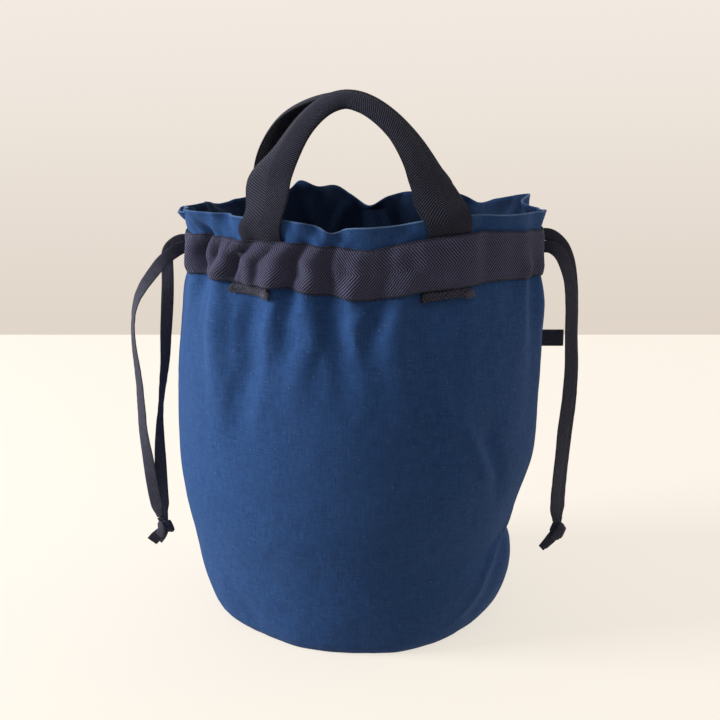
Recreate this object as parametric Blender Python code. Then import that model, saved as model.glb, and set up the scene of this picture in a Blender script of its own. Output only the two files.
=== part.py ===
"""Drawstring bag: a soft round-based cloth bag with a gathered mouth, a
herringbone tape casing, two tape handles and flat drawstrings that hang from
both sides in knotted pairs.

Metres, +Z up. The bag stands on the plane z = 0, its axis is the Z axis, the
front of the bag faces -Y, and its left side in a front view is at -X.
Angles round the bag are measured from the front, positive towards +X.
"""

import math

import bpy
import numpy as np
from mathutils import Vector

# ------------------------------------------------------------------ sizes
CLOTH = 0.0016            # wall of the bag, seam allowances included
TAPE = 0.0012             # herringbone tape, thickness
TAPE_WIDTH = 0.031        # herringbone tape, width
GAP = 0.00035             # clearance between pieces that touch
CORD_WIDTH = 0.0080       # flat drawstring
CORD_THICK = 0.0009
RIM_Z = 0.264             # top of the ruffle
CASING_LOW = 0.219        # lower sewn edge of the casing
CASING_HIGH = 0.249       # upper sewn edge of the casing
BASE_THICK = 0.0018
SEGMENTS = 90             # facets round the bag
PHASE = 2.6               # angle of facet corner 0, degrees
STEP = 360.0 / SEGMENTS

LEG_LEFT = -33.4          # angle of each handle leg, degrees from the front
LEG_RIGHT = 26.6
LEG_HALF = 2              # half width of a leg, in facets of the bag

# Outline of the bag: height, then how far the wall stands from the axis to
# the left, right, front and back.
PROFILE = [
    # z       left     right    front    back
    (0.0000, 0.0905, 0.0852, 0.0955, 0.0885),
    (0.0040, 0.0955, 0.0902, 0.0980, 0.0935),
    (0.0120, 0.0996, 0.0955, 0.0996, 0.0980),
    (0.0260, 0.1044, 0.0998, 0.1012, 0.1012),
    (0.0400, 0.1080, 0.1004, 0.1026, 0.1035),
    (0.0550, 0.1116, 0.0984, 0.1040, 0.1050),
    (0.0750, 0.1160, 0.1038, 0.1062, 0.1065),
    (0.1050, 0.1188, 0.1136, 0.1075, 0.1070),
    (0.1400, 0.1184, 0.1162, 0.1070, 0.1060),
    (0.1700, 0.1170, 0.1175, 0.1040, 0.1030),
    (0.1950, 0.1145, 0.1175, 0.0975, 0.0970),
    (0.2100, 0.1125, 0.1162, 0.0905, 0.0905),
    (0.2190, 0.1108, 0.1146, 0.0868, 0.0870),
    (0.2340, 0.1096, 0.1136, 0.0848, 0.0850),
    (0.2490, 0.1108, 0.1144, 0.0842, 0.0845),
    (0.2565, 0.1132, 0.1158, 0.0842, 0.0850),
    (0.2640, 0.1150, 0.1162, 0.0840, 0.0858),
]

# Folds that run down the wall from the casing: angle, width (both degrees),
# how far the ridge stands out (negative for a valley), how far down from the
# casing it fades out, and how many degrees it drifts by there.
FOLDS = [
    # angle   width  height   reach  drift
    (-66.0,   7.0,   0.0014, 0.085,  -4.0),
    (-57.0,   6.0,  -0.0028, 0.095,  -3.0),
    (-49.0,   6.5,   0.0018, 0.110,  -2.0),
    (-40.0,   6.5,  -0.0018, 0.080,   2.0),
    (-31.0,   7.0,   0.0018, 0.120,   3.0),
    (-24.0,   5.0,  -0.0016, 0.075,   2.0),
    (-18.0,   6.0,   0.0018, 0.090,   2.0),
    (-10.5,   6.0,  -0.0022, 0.080,   4.0),
    ( -3.0,   6.0,   0.0020, 0.095,   4.0),
    (  4.0,   5.5,  -0.0020, 0.080,   6.0),
    ( 11.5,   6.5,   0.0022, 0.110,   8.0),
    ( 20.0,   7.0,  -0.0012, 0.130,   9.0),
    ( 62.0,   9.0,  -0.0012, 0.130,  -8.0),
    ( 74.0,   9.0,   0.0012, 0.110,  -4.0),
    (104.0,   7.0,  -0.0020, 0.090,   2.0),
    (115.0,   7.0,   0.0020, 0.100,   2.0),
    (127.0,   7.0,  -0.0022, 0.080,   0.0),
    (139.0,   7.0,   0.0018, 0.110,   2.0),
    (152.0,   6.5,  -0.0020, 0.090,   2.0),
    (163.0,   6.5,   0.0020, 0.100,  -2.0),
    (173.0,   6.5,  -0.0022, 0.090,   0.0),
    (183.0,   6.5,   0.0020, 0.110,   0.0),
    (194.0,   6.5,  -0.0020, 0.080,   2.0),
    (205.0,   7.0,   0.0020, 0.100,   2.0),
    (217.0,   7.0,  -0.0020, 0.090,  -2.0),
    (229.0,   7.0,   0.0018, 0.110,  -3.0),
    (241.0,   7.0,  -0.0022, 0.090,  -2.0),
    (254.0,   7.0,   0.0016, 0.100,  -2.0),
]

# Waves of the ruffled rim above the casing: angle, width, and how far the
# cloth stands out at the rim.
RUFFLE = [
    # angle   width   out
    (-89.0,   6.0,   0.0036),
    (-66.0,   8.0,   0.0010),
    (-50.0,   5.0,  -0.0012),
    (-16.0,   6.0,   0.0018),
    ( -7.5,   5.0,  -0.0034),
    (  3.0,   6.0,   0.0020),
    ( 13.0,   6.0,  -0.0010),
    ( 50.0,  10.0,   0.0008),
    ( 88.0,   6.0,   0.0014),
    (101.0,   6.5,  -0.0080),
    (112.0,   6.0,   0.0030),
    (125.0,   6.0,  -0.0032),
    (139.0,   7.0,   0.0024),
    (153.0,   6.5,  -0.0024),
    (164.0,   6.0,   0.0036),
    (176.0,   6.0,  -0.0060),
    (187.0,   6.5,   0.0040),
    (195.0,   5.0,  -0.0026),
    (203.0,   6.0,   0.0040),
    (222.0,   6.5,  -0.0030),
    (236.0,   6.5,   0.0030),
    (248.0,   6.0,  -0.0050),
    (258.0,   5.0,   0.0020),
]

# Height of the ruffle's edge round the mouth.
RIM = [
    # angle  height
    (-90.0, 0.2590),
    (-75.0, 0.2632),
    (-60.0, 0.2655),
    (-33.0, 0.2650),
    (-17.0, 0.2636),
    (-12.0, 0.2610),
    ( -7.5, 0.2575),
    ( -4.0, 0.2604),
    (  4.0, 0.2613),
    ( 12.0, 0.2622),
    ( 18.0, 0.2643),
    ( 33.0, 0.2664),
    ( 48.0, 0.2645),
    ( 70.0, 0.2625),
    ( 85.0, 0.2608),
    ( 96.0, 0.2600),
    (108.0, 0.2662),
    (125.0, 0.2612),
    (137.0, 0.2560),
    (145.0, 0.2616),
    (155.0, 0.2604),
    (162.5, 0.2612),
    (171.0, 0.2572),
    (177.0, 0.2520),
    (183.0, 0.2588),
    (188.0, 0.2646),
    (195.0, 0.2652),
    (200.5, 0.2688),
    (205.0, 0.2625),
    (226.0, 0.2592),
    (234.0, 0.2566),
    (244.0, 0.2602),
    (255.0, 0.2600),
    (270.0, 0.2590),
]

# The casing isn't level: how far its lower and upper edges sit above their
# named heights, round the bag.
BAND = [
    # angle   low      high
    (-90.0,  0.0058,  0.0000),
    (-77.0,  0.0062,  0.0004),
    (-53.0,  0.0072,  0.0030),
    (-36.0,  0.0056,  0.0026),
    (-21.0,  0.0046,  0.0028),
    ( -9.0,  0.0016,  0.0010),
    (  3.0,  0.0000,  0.0000),
    ( 12.0,  0.0022,  0.0030),
    ( 21.0,  0.0036,  0.0052),
    ( 38.0,  0.0064,  0.0080),
    ( 46.0,  0.0064,  0.0064),
    ( 58.0,  0.0050,  0.0044),
    ( 85.0,  0.0022,  0.0012),
    (110.0,  0.0010,  0.0010),
    (180.0,  0.0020,  0.0010),
    (240.0,  0.0030,  0.0008),
    (270.0,  0.0058,  0.0000),
]

# Small waves of the foot, where the wall turns under: angle, width, and how
# far the outline stands out there.
FOOT = [
    # angle   width   out
    (-78.0,  16.0,   0.0008),
    (-40.0,  20.0,  -0.0020),
    ( 16.0,  20.0,   0.0016),
    ( 54.0,  18.0,  -0.0012),
]

# Free part of each handle: the line down the middle of the tape, the roll of
# its middle (0 faces straight out from the bag, 90 faces away from the arch),
# and the angle that the tape bends through from edge to edge.
HANDLE_FRONT = [
    # x        y        z       roll   bend
    (-0.0562, -0.0765, 0.2700,  16.0,  24.0),
    (-0.0572, -0.0715, 0.2781,  30.0,  42.0),
    (-0.0569, -0.0655, 0.2856,  42.0,  64.0),
    (-0.0539, -0.0575, 0.2941,  52.0,  80.0),
    (-0.0496, -0.0490, 0.3033,  58.0,  88.0),
    (-0.0429, -0.0375, 0.3135,  62.0,  92.0),
    (-0.0339, -0.0275, 0.3229,  66.0,  94.0),
    (-0.0226, -0.0195, 0.3307,  68.0,  95.0),
    (-0.0086, -0.0160, 0.3345,  70.0,  95.0),
    ( 0.0055, -0.0195, 0.3313,  68.0,  95.0),
    ( 0.0194, -0.0280, 0.3229,  66.0,  94.0),
    ( 0.0312, -0.0385, 0.3112,  62.0,  92.0),
    ( 0.0381, -0.0485, 0.3014,  58.0,  90.0),
    ( 0.0419, -0.0570, 0.2923,  50.0,  74.0),
    ( 0.0452, -0.0645, 0.2832,  42.0,  58.0),
    ( 0.0479, -0.0710, 0.2745,  28.0,  40.0),
    ( 0.0492, -0.0765, 0.2690,  14.0,  24.0),
]
HANDLE_BACK = [
    # x        y        z       roll   bend
    (-0.0600,  0.0775, 0.2710,  14.0,  24.0),
    (-0.0638,  0.0680, 0.2810,  32.0,  44.0),
    (-0.0640,  0.0555, 0.2920,  46.0,  66.0),
    (-0.0585,  0.0430, 0.3049,  56.0,  82.0),
    (-0.0488,  0.0335, 0.3173,  62.0,  90.0),
    (-0.0355,  0.0255, 0.3255,  66.0,  94.0),
    (-0.0217,  0.0200, 0.3305,  68.0,  95.0),
    (-0.0076,  0.0180, 0.3320,  70.0,  95.0),
    ( 0.0064,  0.0200, 0.3275,  68.0,  95.0),
    ( 0.0206,  0.0270, 0.3184,  66.0,  94.0),
    ( 0.0313,  0.0370, 0.3054,  60.0,  88.0),
    ( 0.0391,  0.0490, 0.2930,  50.0,  70.0),
    ( 0.0451,  0.0630, 0.2810,  34.0,  46.0),
    ( 0.0485,  0.0775, 0.2700,  14.0,  24.0),
]

# The flat drawstrings: the middle of each strand from the casing to the
# knot, and the angle that its flat side faces (0 faces forward, 90 faces
# sideways).
STRANDS = {
    "drawstring_left_a": [
        # x        y        z      face
        (-0.1136, -0.0062, 0.2368,   0.0),
        (-0.1178, -0.0090, 0.2346,   2.0),
        (-0.1246, -0.0120, 0.2297,   8.0),
        (-0.1305, -0.0140, 0.2227,  20.0),
        (-0.1371, -0.0145, 0.2138,  38.0),
        (-0.1418, -0.0150, 0.2048,  56.0),
        (-0.1444, -0.0150, 0.1931,  66.0),
        (-0.1449, -0.0150, 0.1801,  62.0),
        (-0.1437, -0.0150, 0.1656,  56.0),
        (-0.1424, -0.0150, 0.1523,  52.0),
        (-0.1416, -0.0150, 0.1356,  50.0),
        (-0.1408, -0.0155, 0.1189,  42.0),
        (-0.1390, -0.0162, 0.1054,  28.0),
        (-0.1371, -0.0168, 0.0919,  14.0),
        (-0.1353, -0.0174, 0.0783,   8.0),
        (-0.1327, -0.0179, 0.0653,   6.0),
        (-0.1312, -0.0182, 0.0605,   6.0),
    ],
    "drawstring_left_b": [
        (-0.1136, -0.0026, 0.2412,   0.0),
        (-0.1171, -0.0032, 0.2398,   0.0),
        (-0.1215, -0.0040, 0.2358,   0.0),
        (-0.1229, -0.0050, 0.2302,   0.0),
        (-0.1227, -0.0062, 0.2214,   0.0),
        (-0.1228, -0.0080, 0.2101,   2.0),
        (-0.1235, -0.0090, 0.1973,   8.0),
        (-0.1246, -0.0096, 0.1809,  34.0),
        (-0.1257, -0.0100, 0.1630,  52.0),
        (-0.1276, -0.0100, 0.1483,  64.0),
        (-0.1293, -0.0100, 0.1342,  74.0),
        (-0.1305, -0.0100, 0.1206,  62.0),
        (-0.1309, -0.0103, 0.1071,  46.0),
        (-0.1308, -0.0112, 0.0902,  22.0),
        (-0.1303, -0.0124, 0.0734,   8.0),
        (-0.1294, -0.0136, 0.0619,   4.0),
        (-0.1290, -0.0140, 0.0600,   4.0),
    ],
    "drawstring_right_a": [
        ( 0.1183, -0.0072, 0.2378,   0.0),
        ( 0.1218, -0.0092, 0.2375,   2.0),
        ( 0.1265, -0.0112, 0.2337,  10.0),
        ( 0.1301, -0.0124, 0.2262,  18.0),
        ( 0.1330, -0.0128, 0.2159,  20.0),
        ( 0.1345, -0.0128, 0.2010,  20.0),
        ( 0.1349, -0.0128, 0.1813,  14.0),
        ( 0.1356, -0.0128, 0.1615,  10.0),
        ( 0.1347, -0.0128, 0.1415,  14.0),
        ( 0.1325, -0.0128, 0.1212,  22.0),
        ( 0.1311, -0.0130, 0.1042,  28.0),
        ( 0.1297, -0.0134, 0.0872,  34.0),
        ( 0.1287, -0.0140, 0.0714,  34.0),
        ( 0.1288, -0.0148, 0.0598,  20.0),
        ( 0.1292, -0.0150, 0.0570,  10.0),
    ],
    "drawstring_right_b": [
        ( 0.1180, -0.0016, 0.2450,   0.0),
        ( 0.1229, -0.0024, 0.2437,   2.0),
        ( 0.1293, -0.0040, 0.2376,  10.0),
        ( 0.1332, -0.0054, 0.2281,  18.0),
        ( 0.1354, -0.0062, 0.2160,  22.0),
        ( 0.1364, -0.0068, 0.1998,  22.0),
        ( 0.1366, -0.0072, 0.1802,  18.0),
        ( 0.1375, -0.0072, 0.1603,  12.0),
        ( 0.1374, -0.0072, 0.1401,  16.0),
        ( 0.1358, -0.0074, 0.1198,  24.0),
        ( 0.1346, -0.0078, 0.1028,  30.0),
        ( 0.1335, -0.0084, 0.0857,  34.0),
        ( 0.1326, -0.0092, 0.0700,  34.0),
        ( 0.1319, -0.0104, 0.0585,  20.0),
        ( 0.1317, -0.0110, 0.0570,  10.0),
    ],
}

# Knots with their tails: middle, half width and half thickness.
KNOTS = {
    "knot_left": [
        # x        y        z       wide    thick
        (-0.1300, -0.0162, 0.0590, 0.0034, 0.0026),
        (-0.1296, -0.0163, 0.0572, 0.0050, 0.0042),
        (-0.1286, -0.0165, 0.0530, 0.0060, 0.0050),
        (-0.1296, -0.0168, 0.0494, 0.0052, 0.0044),
        (-0.1322, -0.0172, 0.0472, 0.0050, 0.0028),
        (-0.1360, -0.0178, 0.0452, 0.0048, 0.0018),
        (-0.1398, -0.0184, 0.0434, 0.0044, 0.0012),
    ],
    "knot_right": [
        ( 0.1305, -0.0130, 0.0552, 0.0036, 0.0026),
        ( 0.1307, -0.0132, 0.0530, 0.0054, 0.0042),
        ( 0.1306, -0.0134, 0.0487, 0.0066, 0.0050),
        ( 0.1284, -0.0138, 0.0450, 0.0054, 0.0044),
        ( 0.1252, -0.0145, 0.0424, 0.0046, 0.0028),
        ( 0.1212, -0.0155, 0.0392, 0.0036, 0.0018),
        ( 0.1172, -0.0165, 0.0360, 0.0026, 0.0012),
    ],
}

WALL_ROWS = [0.0, 0.004, 0.012, 0.026, 0.048, 0.075, 0.105, 0.140, 0.170,
             0.195, 0.2095, 0.219, 0.225, 0.234, 0.2435, 0.249, 0.264]
INNER_ROWS = [0.012, 0.048, 0.105, 0.170, 0.219, 0.234, 0.249, 0.264]


# -------------------------------------------------------------- functions
def smooth(edge0, edge1, value):
    t = min(1.0, max(0.0, (value - edge0) / (edge1 - edge0)))
    return t * t * (3.0 - 2.0 * t)


def hermite(rows, at):
    """Smooth curve through rows of numbers; column 0 holds the parameter."""
    keys = [row[0] for row in rows]
    at = min(keys[-1], max(keys[0], at))
    i = 0
    while i < len(keys) - 2 and at > keys[i + 1]:
        i += 1
    a, b = rows[i], rows[i + 1]
    before = rows[i - 1] if i > 0 else a
    after = rows[i + 2] if i + 2 < len(rows) else b
    span = b[0] - a[0]
    t = (at - a[0]) / span
    out = []
    for k in range(1, len(a)):
        slope_a = (b[k] - before[k]) / (b[0] - before[0])
        slope_b = (after[k] - a[k]) / (after[0] - a[0])
        h00 = 2 * t ** 3 - 3 * t ** 2 + 1
        h10 = t ** 3 - 2 * t ** 2 + t
        h01 = -2 * t ** 3 + 3 * t ** 2
        h11 = t ** 3 - t ** 2
        out.append(h00 * a[k] + h10 * span * slope_a
                   + h01 * b[k] + h11 * span * slope_b)
    return out


def turn(angle):
    """The same angle between -180 and 180 degrees."""
    return (angle + 180.0) % 360.0 - 180.0


def hump(angle, middle, width):
    """1 at the middle of a fold, falling to 0 one width away."""
    d = abs(turn(angle - middle)) / width
    return 0.0 if d >= 1.0 else (1.0 - d * d) ** 2


def leg_cover(angle):
    """1 under a handle leg, on the front and the back, 0 away from it."""
    flat = 0.0
    for middle in (LEG_LEFT, LEG_RIGHT, 180.0 - LEG_LEFT, 180.0 - LEG_RIGHT):
        d = abs(turn(angle - middle))
        flat = max(flat, 1.0 - smooth(LEG_HALF * STEP + 0.8,
                                      LEG_HALF * STEP + 5.0, d))
    return flat


def rim_height(angle):
    """Height of the ruffle's edge at an angle."""
    a = (angle + 90.0) % 360.0 - 90.0
    return hermite(RIM, a)[0]


def true_height(angle, z):
    """Real height of a level line of the cloth: the casing rises and falls
    with BAND and the ruffle's edge with RIM."""
    low, high = hermite(BAND, (angle + 90.0) % 360.0 - 90.0)
    if z <= CASING_LOW:
        return z + low * smooth(0.165, CASING_LOW, z)
    if z <= CASING_HIGH:
        return z + low + (high - low) * (z - CASING_LOW) / (CASING_HIGH - CASING_LOW)
    edge = CASING_HIGH + high
    return edge + (z - CASING_HIGH) * (rim_height(angle) - edge) / (RIM_Z - CASING_HIGH)


def wall_point(angle, z):
    """A point of the outer face of the cloth wall. Heights are those of an
    even bag; true_height gives the real ones."""
    left, right, front, back = hermite(PROFILE, z)
    s, c = math.sin(math.radians(angle)), math.cos(math.radians(angle))
    half_x = right if s > 0 else left
    half_y = front if c > 0 else back
    nx, ny = s / half_x, -c / half_y
    size = math.hypot(nx, ny)
    nx, ny = nx / size, ny / size
    out = 0.0
    flat = leg_cover(angle) if z > 0.195 else 0.0
    below = CASING_LOW - z
    for middle, width, height, reach, drift in FOLDS:
        if below > 0:
            t = min(1.0, below / reach)
            fade = (1.0 - t) ** 1.3 * (0.85 + 0.45 * math.sin(math.pi * min(1.0, 3 * t)))
            grow = 1.0 + 0.8 * t
            centre = middle + drift * t
        else:
            fade = 0.85 - 0.45 * smooth(0.0, 0.030, -below)
            grow, centre = 1.0, middle
        out += height * fade * hump(angle, centre, width * grow)
    out *= 1.0 - 0.8 * flat * smooth(0.195, 0.210, z)
    above = z - CASING_HIGH
    if above > 0:
        rise = smooth(0.0, RIM_Z - CASING_HIGH, above)
        for middle, width, height in RUFFLE:
            out += height * rise * (1.0 - 0.85 * flat) * hump(angle, middle, width)
    if z < 0.040:
        low = 1.0 - smooth(0.004, 0.040, z)
        for middle, width, height in FOOT:
            out += height * low * hump(angle, middle, width)
    # the right side is pushed in above the base seam
    out -= 0.0018 * hump(angle, 92.0, 46.0) * math.exp(-((z - 0.0535) / 0.007) ** 2)
    return Vector((half_x * s + nx * out, -half_y * c + ny * out,
                   true_height(angle, z)))


def wall_normal(angle, z):
    across = wall_point(angle + 0.4, z) - wall_point(angle - 0.4, z)
    low, high = max(0.0, z - 0.0008), min(RIM_Z, z + 0.0008)
    up = wall_point(angle, high) - wall_point(angle, low)
    return across.cross(up).normalized()


def wall_off(angle, z, off):
    return wall_point(angle, z) + wall_normal(angle, z) * off


def angles(first, last):
    """Facet corners of the bag, from corner number first to last."""
    return [PHASE + STEP * i for i in range(first, last + 1)]


def make_object(name, verts, faces, material, sharp=40.0):
    mesh = bpy.data.meshes.new(name)
    mesh.from_pydata([tuple(v) for v in verts], [], faces)
    mesh.validate()
    mesh.shade_smooth()
    mesh.set_sharp_from_angle(angle=math.radians(sharp))
    mesh.materials.append(material)
    obj = bpy.data.objects.new(name, mesh)
    bpy.context.scene.collection.objects.link(obj)
    return obj


def make_material(name, colour, roughness):
    mat = bpy.data.materials.new(name)
    mat.use_nodes = True
    bsdf = mat.node_tree.nodes["Principled BSDF"]
    bsdf.inputs["Base Color"].default_value = (*colour, 1.0)
    bsdf.inputs["Roughness"].default_value = roughness
    bsdf.inputs["Metallic"].default_value = 0.0
    mat.diffuse_color = (*colour, 1.0)
    return mat


def skin(rings, closed_ring, caps):
    """Faces between rings of equal length. closed_ring joins each ring's last
    point to its first, and caps closes the first and last ring."""
    verts, faces = [], []
    n = len(rings[0])
    for ring in rings:
        verts.extend(ring)
    last = n if closed_ring else n - 1
    for i in range(len(rings) - 1):
        for j in range(last):
            k = (j + 1) % n
            faces.append((i * n + j, i * n + k, (i + 1) * n + k, (i + 1) * n + j))
    if caps:
        faces.append(tuple(reversed(range(n))))
        top = (len(rings) - 1) * n
        faces.append(tuple(range(top, top + n)))
    return verts, faces


def resample(points, count):
    """count points evenly spread along a smooth curve through the rows of
    points; the columns after x, y and z are carried along."""
    keyed, run, before = [], 0.0, None
    for row in points:
        here = Vector(row[:3])
        if before is not None:
            run += (here - before).length
        before = here
        keyed.append((run,) + tuple(row))
    return [hermite(keyed, run * i / (count - 1)) for i in range(count)]


# ------------------------------------------------------------- the pieces
def build_body(material):
    """Cloth wall with its ruffle: outer face up, rim, inner face down."""
    around = angles(0, SEGMENTS - 1)
    rings = [[wall_point(a, z) for a in around] for z in WALL_ROWS]
    for z in reversed(INNER_ROWS):
        ring = [wall_off(a, z, -CLOTH) for a in around]
        if z == RIM_Z:
            ring = [Vector((p.x, p.y, rim_height(a))) for p, a in zip(ring, around)]
        rings.append(ring)
    foot = []
    for a in around:
        inner = wall_off(a, 0.0, 0.0)
        r = Vector((inner.x, inner.y, 0.0))
        foot.append(r - r.normalized() * 0.0030)
    rings.append(foot)
    verts, faces = skin(rings, True, False)
    n, top = len(around), (len(rings) - 1) * len(around)
    for j in range(n):
        k = (j + 1) % n
        faces.append((top + j, top + k, k, j))
    return make_object("body_panel", verts, faces, material)


def build_base(material):
    """Round base disc inside the foot of the wall."""
    around = angles(0, SEGMENTS - 1)
    rim = []
    for a in around:
        p = wall_point(a, 0.0)
        p.z = 0.0
        rim.append(p - p.normalized() * (0.0030 + GAP))
    verts, faces = skin([[Vector((p.x, p.y, 0.0)) for p in rim],
                         [Vector((p.x, p.y, BASE_THICK)) for p in rim]], True, True)
    return make_object("base_panel", verts, faces, material)


def casing_lift(angle, z):
    """How far the inner face of the casing tape stands off the wall."""
    over_leg = leg_cover(angle)
    edge = GAP + (TAPE + GAP) * over_leg
    middle = edge + CORD_THICK + GAP + 0.0001
    t = (z - CASING_LOW) / (CASING_HIGH - CASING_LOW)
    return edge + (middle - edge) * smooth(0.0, 0.19, t) * smooth(0.0, 0.17, 1.0 - t)


def build_casing(name, around, material):
    """A length of tape laid round the wall, lifted in the middle where the
    drawstring runs under it."""
    rings = []
    for a in around:
        inner = [wall_off(a, z, casing_lift(a, z))
                 for z in (0.219, 0.225, 0.234, 0.2435, 0.249)]
        outer = [wall_off(a, z, casing_lift(a, z) + TAPE)
                 for z in (0.219, 0.2262, 0.2422, 0.249)]
        rings.append(outer + list(reversed(inner)))
    verts, faces = skin(rings, True, True)
    faces = [tuple(reversed(f)) for f in faces]
    return make_object(name, verts, faces, material)


def build_run(name, around, low, high, material):
    """The hidden stretch of a drawstring, inside the casing."""
    rings = []
    for a in around:
        lift = GAP + (TAPE + GAP) * leg_cover(a)
        rings.append([wall_off(a, low, lift + CORD_THICK),
                      wall_off(a, high, lift + CORD_THICK),
                      wall_off(a, high, lift),
                      wall_off(a, low, lift)])
    verts, faces = skin(rings, True, True)
    faces = [tuple(reversed(f)) for f in faces]
    return make_object(name, verts, faces, material)


def handle_rings(side):
    """Cross-sections of a handle, from the folded end under the casing on the
    left to the one on the right. side is -1 for the front, +1 for the back."""
    def held(leg, z, off, thick):
        """A section that lies on the wall."""
        corners = [leg + STEP * k for k in range(-LEG_HALF, LEG_HALF + 1)]
        if side > 0:
            corners = [180.0 - a for a in corners]
        inner = [wall_off(a, z, off) for a in corners]
        outer = [wall_off(a, z, off + thick) for a in corners]
        return outer, inner

    rows = HANDLE_FRONT if side < 0 else HANDLE_BACK
    keyed, run, before = [], 0.0, None
    for row in rows:
        here = Vector(row[:3])
        run += (here - before).length if before is not None else 0.0
        before = here
        keyed.append((run,) + row)
    rings = []
    stub = [(0.2095, GAP, 0.0024), (0.2182, GAP, 0.0024)]
    leg = [(0.2186, GAP, TAPE), (0.219, GAP, TAPE), (0.225, GAP, TAPE),
           (0.234, GAP, TAPE), (0.2435, GAP, TAPE), (0.249, GAP, TAPE),
           (0.264, 0.0016, TAPE)]
    for z, off, thick in stub + leg:
        rings.append(held(LEG_LEFT, z, off, thick))
    count = 15
    for i in range(count):
        at = run * i / (count - 1)
        x, y, z, roll, bend = hermite(keyed, at)
        ahead = hermite(keyed, min(run, at + 0.002))
        behind = hermite(keyed, max(0.0, at - 0.002))
        along = Vector([ahead[k] - behind[k] for k in range(3)]).normalized()
        facing = Vector((0.0, float(side), 0.0))
        facing = (facing - along * facing.dot(along)).normalized()
        across = along.cross(facing)
        if across.dot(Vector((-0.006 - x, 0.0, 0.255 - z))) > 0:
            across = -across
        # across now points away from the arch; roll the face towards it
        r = math.radians(roll)
        normal = facing * math.cos(r) + across * math.sin(r)
        width = normal.cross(along).normalized()
        half = math.radians(bend) / 2
        radius = TAPE_WIDTH / 2 / half
        outer, inner = [], []
        for k in range(-LEG_HALF, LEG_HALF + 1):
            a = half * k / LEG_HALF
            out = normal * math.cos(a) + width * math.sin(a)
            p = Vector((x, y, z)) - normal * radius + out * radius
            outer.append(p)
            inner.append(p - out * TAPE)
        rings.append((outer, inner))
    for z, off, thick in reversed(stub + leg):
        rings.append(held(LEG_RIGHT, z, off, thick))
    # every section runs the same way across the tape
    fixed = [rings[0]]
    for outer, inner in rings[1:]:
        prev = fixed[-1][0]
        same = (outer[0] - prev[0]).length + (outer[-1] - prev[-1]).length
        flip = (outer[-1] - prev[0]).length + (outer[0] - prev[-1]).length
        if flip < same:
            outer, inner = list(reversed(outer)), list(reversed(inner))
        fixed.append((outer, inner))
    return fixed


def build_handle(name, side, material):
    rings = [outer + list(reversed(inner)) for outer, inner in handle_rings(side)]
    verts, faces = skin(rings, True, True)
    obj = make_object(name, verts, faces, material)
    turn_outwards(obj)
    return obj


def turn_outwards(obj):
    """Faces point out of the piece: its signed volume is positive."""
    mesh = obj.data
    volume = 0.0
    for poly in mesh.polygons:
        p = [mesh.vertices[i].co for i in poly.vertices]
        for k in range(1, len(p) - 1):
            volume += p[0].dot(p[k].cross(p[k + 1]))
    if volume < 0:
        mesh.flip_normals()


def strand_rings(rows, count, width, thick):
    """Sections of a flat strand whose broad side turns along the way."""
    path = resample(rows, count)
    rings = []
    for i, (x, y, z, face) in enumerate(path):
        ahead = path[min(i + 1, count - 1)]
        behind = path[max(i - 1, 0)]
        along = Vector([ahead[k] - behind[k] for k in range(3)]).normalized()
        a = math.radians(face)
        facing = Vector((math.sin(a), -math.cos(a), 0.0))
        facing = (facing - along * facing.dot(along)).normalized()
        across = along.cross(facing)
        p = Vector((x, y, z))
        w, t = across * (width / 2), facing * (thick / 2)
        rings.append([p - w + t, p + w + t, p + w - t, p - w - t])
    return rings


def build_strand(name, rows, material):
    verts, faces = skin(strand_rings(rows, 23, CORD_WIDTH, CORD_THICK), True, True)
    obj = make_object(name, verts, faces, material)
    turn_outwards(obj)
    return obj


def build_knot(name, rows, material):
    """Round knot that runs out into flat tails."""
    path = resample(rows, 12)
    rings = []
    for i, (x, y, z, wide, thick) in enumerate(path):
        ahead = path[min(i + 1, len(path) - 1)]
        behind = path[max(i - 1, 0)]
        along = Vector([ahead[k] - behind[k] for k in range(3)]).normalized()
        facing = Vector((0.0, -1.0, 0.0))
        facing = (facing - along * facing.dot(along)).normalized()
        across = along.cross(facing)
        p = Vector((x, y, z))
        rings.append([p + across * (wide * math.cos(t)) + facing * (thick * math.sin(t))
                      for t in [2 * math.pi * k / 10 for k in range(10)]])
    verts, faces = skin(rings, True, True)
    obj = make_object(name, verts, faces, material)
    turn_outwards(obj)
    return obj


def build_tab(material):
    """Plain folded tab, caught in the right side seam."""
    verts = []
    for x in (0.1190, 0.1334):
        for y in (0.0052, 0.0078):
            for z in (0.1700, 0.1806):
                verts.append(Vector((x, y, z)))
    faces = [(0, 1, 3, 2), (4, 6, 7, 5), (0, 4, 5, 1), (2, 3, 7, 6),
             (0, 2, 6, 4), (1, 5, 7, 3)]
    obj = make_object("side_tab", verts, faces, material)
    turn_outwards(obj)
    return obj


def main():
    for obj in list(bpy.data.objects):
        bpy.data.objects.remove(obj, do_unlink=True)

    canvas = make_material("canvas", (0.030, 0.085, 0.205), 0.85)
    tape = make_material("tape", (0.022, 0.026, 0.048), 0.80)
    cord = make_material("cord", (0.026, 0.028, 0.044), 0.75)

    build_body(canvas)
    build_base(canvas)
    build_casing("channel_tape_front", angles(-22, 21), tape)
    build_casing("channel_tape_back", angles(22, 67), tape)
    build_run("drawstring_run_left", angles(-22, 67)[:-1], 0.2262, 0.2342, cord)
    build_run("drawstring_run_right", angles(22, 111)[:-1], 0.2346, 0.2426, cord)
    build_handle("handle_front", -1, tape)
    build_handle("handle_back", 1, tape)
    for name, rows in STRANDS.items():
        build_strand(name, rows, cord)
    for name, rows in KNOTS.items():
        build_knot(name, rows, cord)
    build_tab(tape)


main()
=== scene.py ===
"""Looks of a soft drawstring bag: indigo canvas, herringbone tape casing and
handles, flat cotton drawstrings with knotted ends.

Metres, +Z up. The front of the bag faces -Y. Angles round the bag are in
degrees from the front, positive towards +X.
"""

import math

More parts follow.
